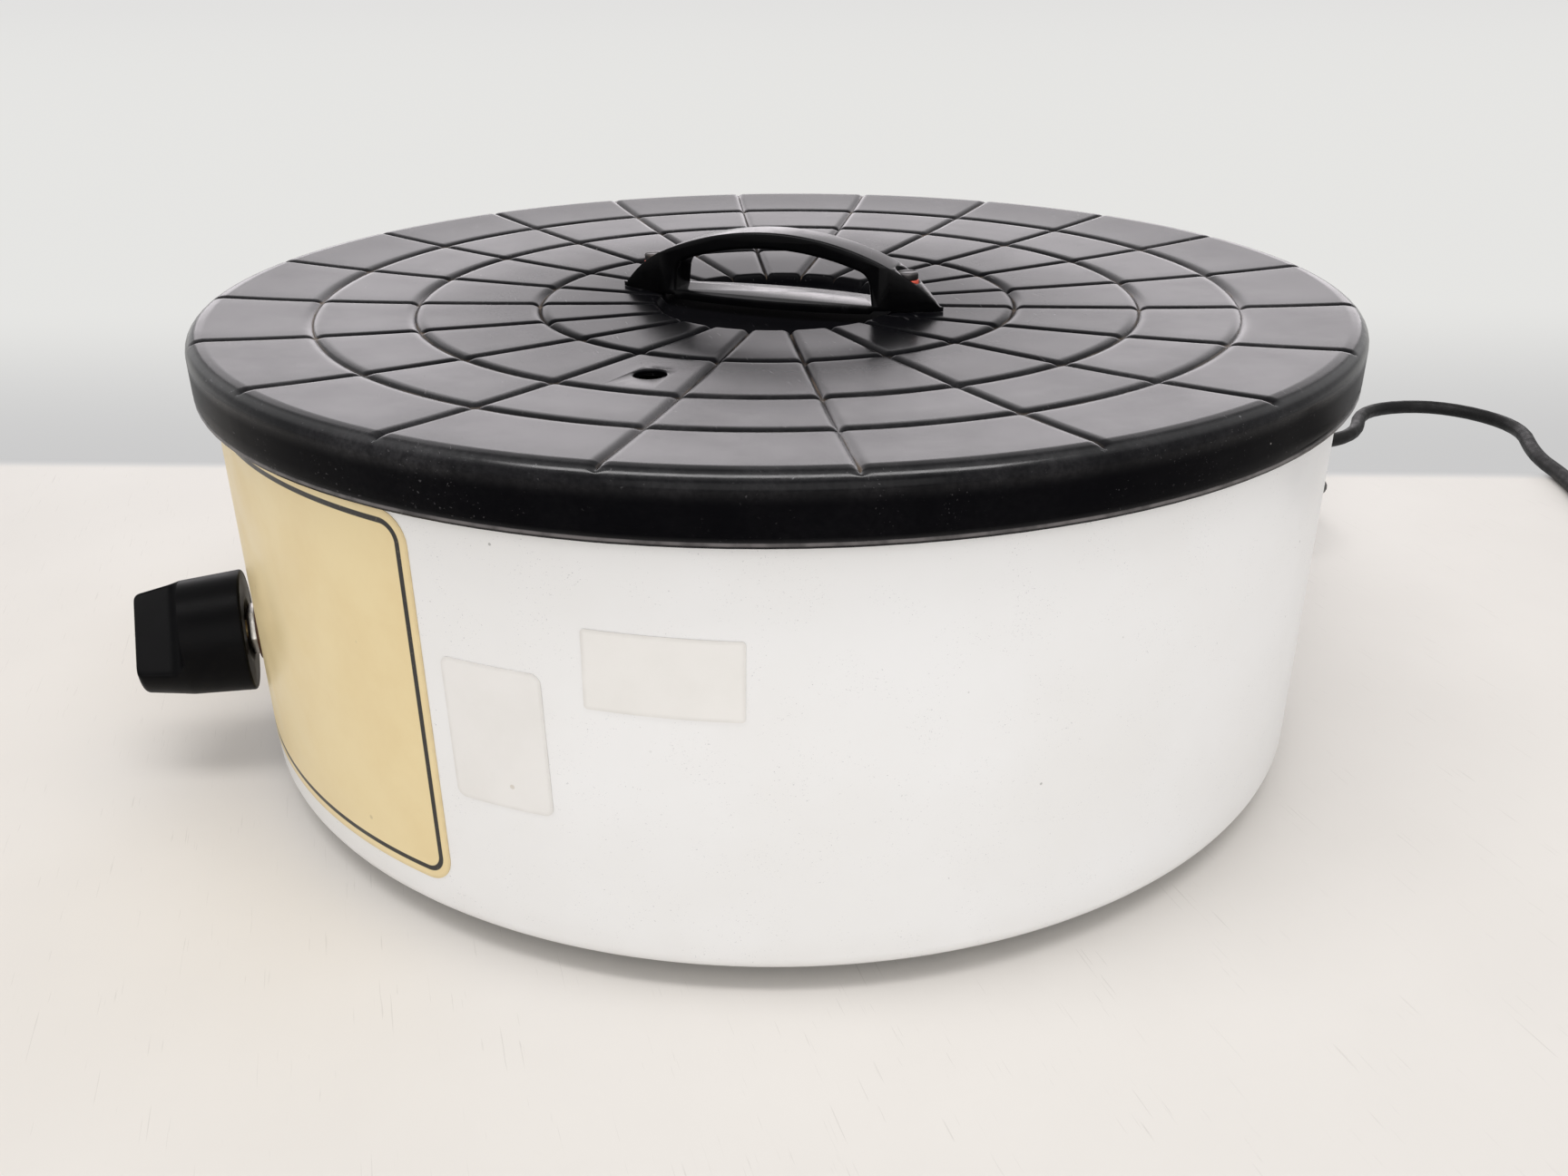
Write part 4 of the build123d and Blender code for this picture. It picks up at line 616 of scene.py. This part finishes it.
# A flat grid is wrapped round the axis: its columns gather at the radial grooves, its rows are the section
section = lid_section()
half_sector = pi / spoke_count
pad_steps = 3
half_count = len(spoke_steps) - 1 + pad_steps
around = 2 * half_count * spoke_count
bm = bmesh.new()
bmesh.ops.create_grid(bm, x_segments=around, y_segments=len(section) - 1, size=0.5)
groove_layer = bm.verts.layers.float.new("groove")
rim_layer = bm.verts.layers.float.new("rim")
for v in bm.verts:
    i = round((v.co.x + 0.5) * around) % around
    j = round((v.co.y + 0.5) * (len(section) - 1))
    radius, height, grooved, rim = section[j]
    spoke, k = divmod(i + half_count, 2 * half_count)
    k -= half_count
    side = -1 if k < 0 else 1
    step = abs(k)
    shrink = min(radius / recess_radius, 1)
    if step < len(spoke_steps):
        off = spoke_steps[step] * shrink
    else:
        last = spoke_steps[-1] * shrink
        off = last + (radius * half_sector - last) * (step - len(spoke_steps) + 1) / pad_steps
    angle = radians(lid_turn) + half_sector + 2 * half_sector * spoke + (side * off / radius if radius else 0)
    ring = max(groove(radius - circle, ring_half) for circle in ring_circles)
    spoke_cut = groove(off, spoke_half) * grooved if radius > recess_floor_radius - 2 else 0
    cut = 1 - (1 - ring) * (1 - spoke_cut)
    v.co = (radius * cos(angle), radius * sin(angle), height - relief(radius) * cut)
    if rim and spoke_cut:
        v.co.x -= notch_depth * spoke_cut * cos(angle)
        v.co.y -= notch_depth * spoke_cut * sin(angle)
    v[groove_layer] = cut
    v[rim_layer] = rim
bmesh.ops.remove_doubles(bm, verts=bm.verts, dist=0.0005)
bmesh.ops.dissolve_degenerate(bm, edges=bm.edges, dist=0.0001)

# The thermometer hole: a patch of the pad comes out, and a round mouth with a turned-down lip goes in
vent = polar(vent_circle, vent_turn)
near = [f for f in bm.faces if (Vector((*f.calc_center_median().xy, 0)) - vent).length < vent_patch]
edge_loop = {e for f in near for e in f.edges if any(other not in near for other in e.link_faces)}
bmesh.ops.delete(bm, geom=near, context="FACES")
patch_edges = [e for e in edge_loop if e.is_valid]
hole = bmesh.ops.create_circle(bm, cap_ends=False, segments=32, radius=vent_mouth,
                               matrix=Matrix.Translation(vent + Vector((0, 0, pad_top(vent_circle)))))
hole_edges = list({e for v in hole["verts"] for e in v.link_edges})
bmesh.ops.bridge_loops(bm, edges=patch_edges + hole_edges)
for width, drop in ((4.55, 0.12), (4.3, 0.5)):
    lip = bmesh.ops.extrude_edge_only(bm, edges=hole_edges)
    hole_edges = [e for e in lip["geom"] if isinstance(e, bmesh.types.BMEdge)]
    for v in {v for e in hole_edges for v in e.verts}:
        outward = Vector((v.co.x - vent.x, v.co.y - vent.y, 0)).normalized()
        v.co = Vector((vent.x, vent.y, pad_top(vent_circle) - drop)) + outward * width
lid = finish_piece(bm, "pressed_lid", enamel_black, "lid", ("lid",), sharp=60)
walls = lid.modifiers.new("sheet", "SOLIDIFY")
walls.thickness = lid_sheet * MM
walls.offset = -1
walls.use_even_offset = False


# ---------------------------------------------------------------- drum
# One sheet whose two ends turn inwards as lips
drum_sheet, drum_bottom, drum_top, lip_inside = 1.5, 5.5, 128.5, 156
drum_inside, inside_bottom, inside_top = drum_radius - drum_sheet, drum_bottom + drum_sheet, drum_top - drum_sheet
drum_outline = rounded([
    (lip_inside, drum_bottom, 0), (drum_radius, drum_bottom, 5), (drum_radius, drum_top, 5), (lip_inside, drum_top, 0),
    (lip_inside, inside_top, 0), (drum_inside, inside_top, 3.5), (drum_inside, inside_bottom, 3.5),
    (lip_inside, inside_bottom, 0),
], steps=8)
bm = spun(drum_outline, steps=240)
finish_piece(bm, "drum", enamel_white, "bath", ("casing",), sharp=50)


# ---------------------------------------------------------------- films round the drum
film_gap, film_thickness = 0.02, 0.2


def film(name, finish, node, slot, middle_angle, middle_height, shape, slices, tilt=0.0):
    """A thin film with rounded corners, cut in upright strips, given its own map, then wrapped round the drum."""
    half_width, half_height, corner = shape
    bm = bmesh.new()
    bmesh.ops.create_grid(bm, x_segments=1, y_segments=1, size=0.5)
    bmesh.ops.scale(bm, vec=(2 * half_width, 2 * half_height, 1), verts=bm.verts)
    bmesh.ops.bevel(bm, geom=list(bm.verts), offset=corner, offset_type="OFFSET", segments=8, profile=0.5,
                    affect="VERTICES", clamp_overlap=True, material=-1)
    for k in range(1, slices):
        cut_at = -half_width + 2 * half_width * k / slices
        bmesh.ops.bisect_plane(bm, geom=bm.verts[:] + bm.edges[:] + bm.faces[:], dist=0.0001,
                               plane_co=(cut_at, 0, 0), plane_no=(1, 0, 0))
    top = bmesh.ops.extrude_face_region(bm, geom=bm.faces[:])
    lifted = [v for v in top["geom"] if isinstance(v, bmesh.types.BMVert)]
    bmesh.ops.translate(bm, vec=(0, 0, film_thickness), verts=lifted)
    sheet = bm.loops.layers.uv.new("film")
    for face in bm.faces:
        for loop in face.loops:
            loop[sheet].uv = (0.5 + loop.vert.co.x * MM, 0.5 + loop.vert.co.y * MM)
    bmesh.ops.rotate(bm, cent=(0, 0, 0), matrix=Matrix.Rotation(radians(tilt), 3, "Z"), verts=bm.verts)
    for v in bm.verts:
        angle = radians(middle_angle) + v.co.x / drum_radius
        out = drum_radius + film_gap + v.co.z
        v.co = (out * cos(angle), out * sin(angle), middle_height + v.co.y)
    finish_piece(bm, name, finish, "bath", (node,), sharp=50)


film("front_label", cream_film, "fascia_label", "label", 270, 67.75, label_shape, 150)
film("tall_sticker", plain_film_tall, "upright_sticker", "sticker", 319.8, 65.75, tall_shape, 24, tilt=0.5)
film("low_sticker", plain_film_low, "level_sticker", "sticker", 334.1, 87.85, low_shape, 30, tilt=-1.3)


# ---------------------------------------------------------------- bowl
bowl_outline = rounded([
    (0, 72, 0), (117, 72, 12), (131, 128, 5), (163, 132.2, 1.2), (164.5, 134.2, 1.1), (167, 134.2, 1.1),
    (167, 129.5, 0.5), (157, 129.5, 0.6), (134.5, 125, 3), (119.5, 69, 14), (0, 69, 0),
], closed=False, steps=7)
bm = spun(bowl_outline, closed=False, steps=180)
finish_piece(bm, "water_bowl", bowl_black, "bath", ("bowl",), sharp=50)


# ---------------------------------------------------------------- handle and its fixings
handle_half, plate_thickness, screw_spread = 54.4, 1.5, 42.6
plate_top = dish(handle_half) + 0.05 + plate_thickness
strap_crown, strap_crown_radius, strap_half_thickness, strap_half = 153.5, 93.5, 1.65, 34.5
# The photo's strap is deeper than the CAD one and its screws are prouder
strap_drop, screw_rise = 1.8, 1.8


def strap_middle(along):
    """Height of the middle of the handle's strap at a distance along it."""
    return strap_crown - strap_half_thickness - along**2 / (2 * strap_crown_radius)


def thicker_strap(point):
    """How far a point of the handle rises: the strap's underside comes down, the rest stays."""
    along = abs(point.x * cos(radians(lid_turn)) + point.y * sin(radians(lid_turn)))
    if along > strap_half or point.z > strap_middle(along):
        return 0
    return -strap_drop * eased(point.z, plate_top + 2, plate_top + 9)


def prouder_screw(point):
    """How far a point of a screw rises: all of it above the washers."""
    return screw_rise * eased(point.z, 136, 138.5)


polished("lid_handle", handle_black, 0.3, thicker_strap)
polished("handle_screws", dark_screw, 0.1, prouder_screw)
washer_outline = rounded([(2.1, 138.9, 0), (3.6, 138.9, 0.3), (3.6, 141.4, 0.5), (2.1, 141.4, 0.3)], steps=3)
bm = copies(washer_outline, 40, [polar(side * screw_spread, lid_turn) for side in (-1, 1)])
finish_piece(bm, "red_washers", red_fibre, "lid", ("screw_washers",), sharp=50)


# ---------------------------------------------------------------- knob
# Along the spindle: the shoulder, the grip's face and the pointer line's face, from the drum's axis
knob_height, knob_lean = 41.5, 142.0
knob_shoulder, knob_face, pointer_face = 191.5, 205.3, 205.5
# The grip: half its width at the face, how fast it widens, and the radii of its hollow foot and long edges
grip_half, grip_taper, hollow, soft = 6.2, 0.055, 4.5, 0.9
station_gap = 0.7
knob_outline = rounded([
    (176.4, 5, 0), (173.6, 10, 0), (173.6, 17.6, 0.4), (173.2, 19.0, 0.8), (knob_shoulder, 17.7, 10),
    (knob_face, 15.1, 2.0), (knob_face, 0, 0),
], closed=False, steps=6)
stations = []
for a, b in zip(knob_outline, knob_outline[1:]):
    pieces = max(1, round((b - a).length / station_gap))
    stations += [a + (b - a) * k / pieces for k in range(pieces)]
stations.append(knob_outline[-1])
bm = spun([(p.y, p.x) for p in stations], closed=False, steps=144)
turn_grip = radians(knob_lean)
for v in bm.verts:
    out, across = v.co.z, v.co.x
    # the grip's flat sides, with a hollow curve where they meet the skirt and soft long edges
    half = grip_half + (pointer_face - out) * grip_taper
    if out <= knob_shoulder:
        half += 99
    elif out < knob_shoulder + hollow:
        half += (1 - sqrt(max(0.0, 1 - ((knob_shoulder + hollow - out) / hollow) ** 2))) * hollow
    flat = half - soft
    over = abs(across) - flat
    if over > 0:
        across = (flat + soft * (1 - exp(-over / soft))) * (1 if across > 0 else -1)
    x = v.co.y * cos(turn_grip) - across * sin(turn_grip)
    z = v.co.y * sin(turn_grip) + across * cos(turn_grip)
    v.co = (x, -out, knob_height + z)
finish_piece(bm, "grip_knob", knob_black, "knob", ("control_knob",), sharp=50)


# ---------------------------------------------------------------- feet and base plate
foot_circle = 136.0
foot_outline = rounded([
    (10.5, 0, 1.2), (12.5, 7, 0.5), (2.25, 7, 0), (2.25, 4, 0), (4.4, 4, 0), (4.4, 0, 0.4),
], steps=4)
bm = copies(foot_outline, 64, [polar(foot_circle, 45 + 90 * k) for k in range(4)])
finish_piece(bm, "rubber_feet", rubber, "bath", ("feet",), sharp=50)
polished("base_plate", zinc_sheet, 0.2, sharp=13)


# ---------------------------------------------------------------- parts that keep their CAD shape
# Those that show have their edges softened
for node, finish, slot, soften in (
    ("pointer_line", knob_paint, "pointer", 0.0),
    ("nut_washers", steel, "steel_screws", 0.1),
    ("handle_nuts", nickel, "steel_screws", 0.2),
    ("bush_washer", brown_fibre, "fibre_brown", 0.1),
    ("bush_nut", nickel, "nickel_nut", 0.15),
    ("pilot_holder", nylon, "nylon_black", 0.15),
    ("pilot_lens", amber, "lamp_lens", 0.0),
    ("strain_relief", rubber, "rubber_black", 0.2),
    ("base_screws", steel, "steel_screws", 0.1),
    ("foot_screws", steel, "steel_screws", 0.1),
):
    polished(node, finish, soften)

# Those inside the drum, and the coil's tie and the plug, only get a finish
inside = {
    "bowl_seal": silicone, "heating_element": mica, "clamp_plate": zinc_sheet, "heater_studs": steel,
    "heater_nuts": nickel, "insulation": fibre_blanket, "thermal_cutout": ceramic, "sensor": copper,
    "bulb_clip": steel, "thermostat": phenolic, "terminal_block": nylon, "terminal_screws": brass,
    "earth_stud": brass, "earth_nuts": brass, "gland_nut": nylon, "foot_nuts": nickel, "spindle": brass,
    "knob_insert": brass, "grub_screw": steel, "lead_tie": sheath, "plug_body": plug_plastic,
    "plug_pins": nickel, "fuse_cover": red_card,
}
for node, finish in inside.items():
    mesh = frame["nodes"][node].data
    if not mesh.materials:
        mesh.materials.append(finish)
    for place in frame["nodes"][node].material_slots:
        place.material = finish


# ---------------------------------------------------------------- bench and light
bm = bmesh.new()
bmesh.ops.create_grid(bm, x_segments=8, y_segments=8, size=60)
floor_mesh = bpy.data.meshes.new("bench")
bm.to_mesh(floor_mesh)
bm.free()
floor_mesh.materials.append(bench)
floor = bpy.data.objects.new("bench", floor_mesh)
bpy.context.collection.objects.link(floor)


def lamp(name, place, aim, size, glow, colour):
    """A soft rectangular lamp at a place, aimed at a point, in metres; glow is its brightness, 1 being white."""
    data = bpy.data.lights.new(name, "AREA")
    data.shape = "RECTANGLE"
    data.size, data.size_y = size
    data.energy = glow * pi * size[0] * size[1]
    data.color = colour
    obj = bpy.data.objects.new(name, data)
    bpy.context.collection.objects.link(obj)
    ahead = (Vector(aim) - Vector(place)).normalized()
    obj.matrix_world = Matrix.Translation(place) @ ahead.to_track_quat("-Z", "Y").to_matrix().to_4x4()


lamp("window_low", (-2.2, 0.72, 0.51), (0, 0, 0.12), (3.2, 0.5), 2.1, (1.0, 0.94, 0.98))
lamp("window_high", (-2.1, 0.69, 1.08), (0, 0, 0.12), (3.2, 0.64), 0.75, (1.0, 0.94, 0.98))
lamp("ceiling", (0.35, -0.15, 2.1), (0, 0, 0.1), (2.4, 0.55), 6.0, (1.0, 0.985, 0.985))
lamp("front_fill", (2.1, -0.6, 1.0), (0, 0, 0.1), (2.2, 1.4), 1.8, (1.0, 0.985, 0.97))

world = bpy.data.worlds.new("room")
bpy.context.scene.world = world
world.use_nodes = True
world.node_tree.nodes["Background"].inputs["Color"].default_value = (0.87, 0.865, 0.87, 1)
world.node_tree.nodes["Background"].inputs["Strength"].default_value = 0.72
bpy.context.scene.view_settings.view_transform = "Standard"
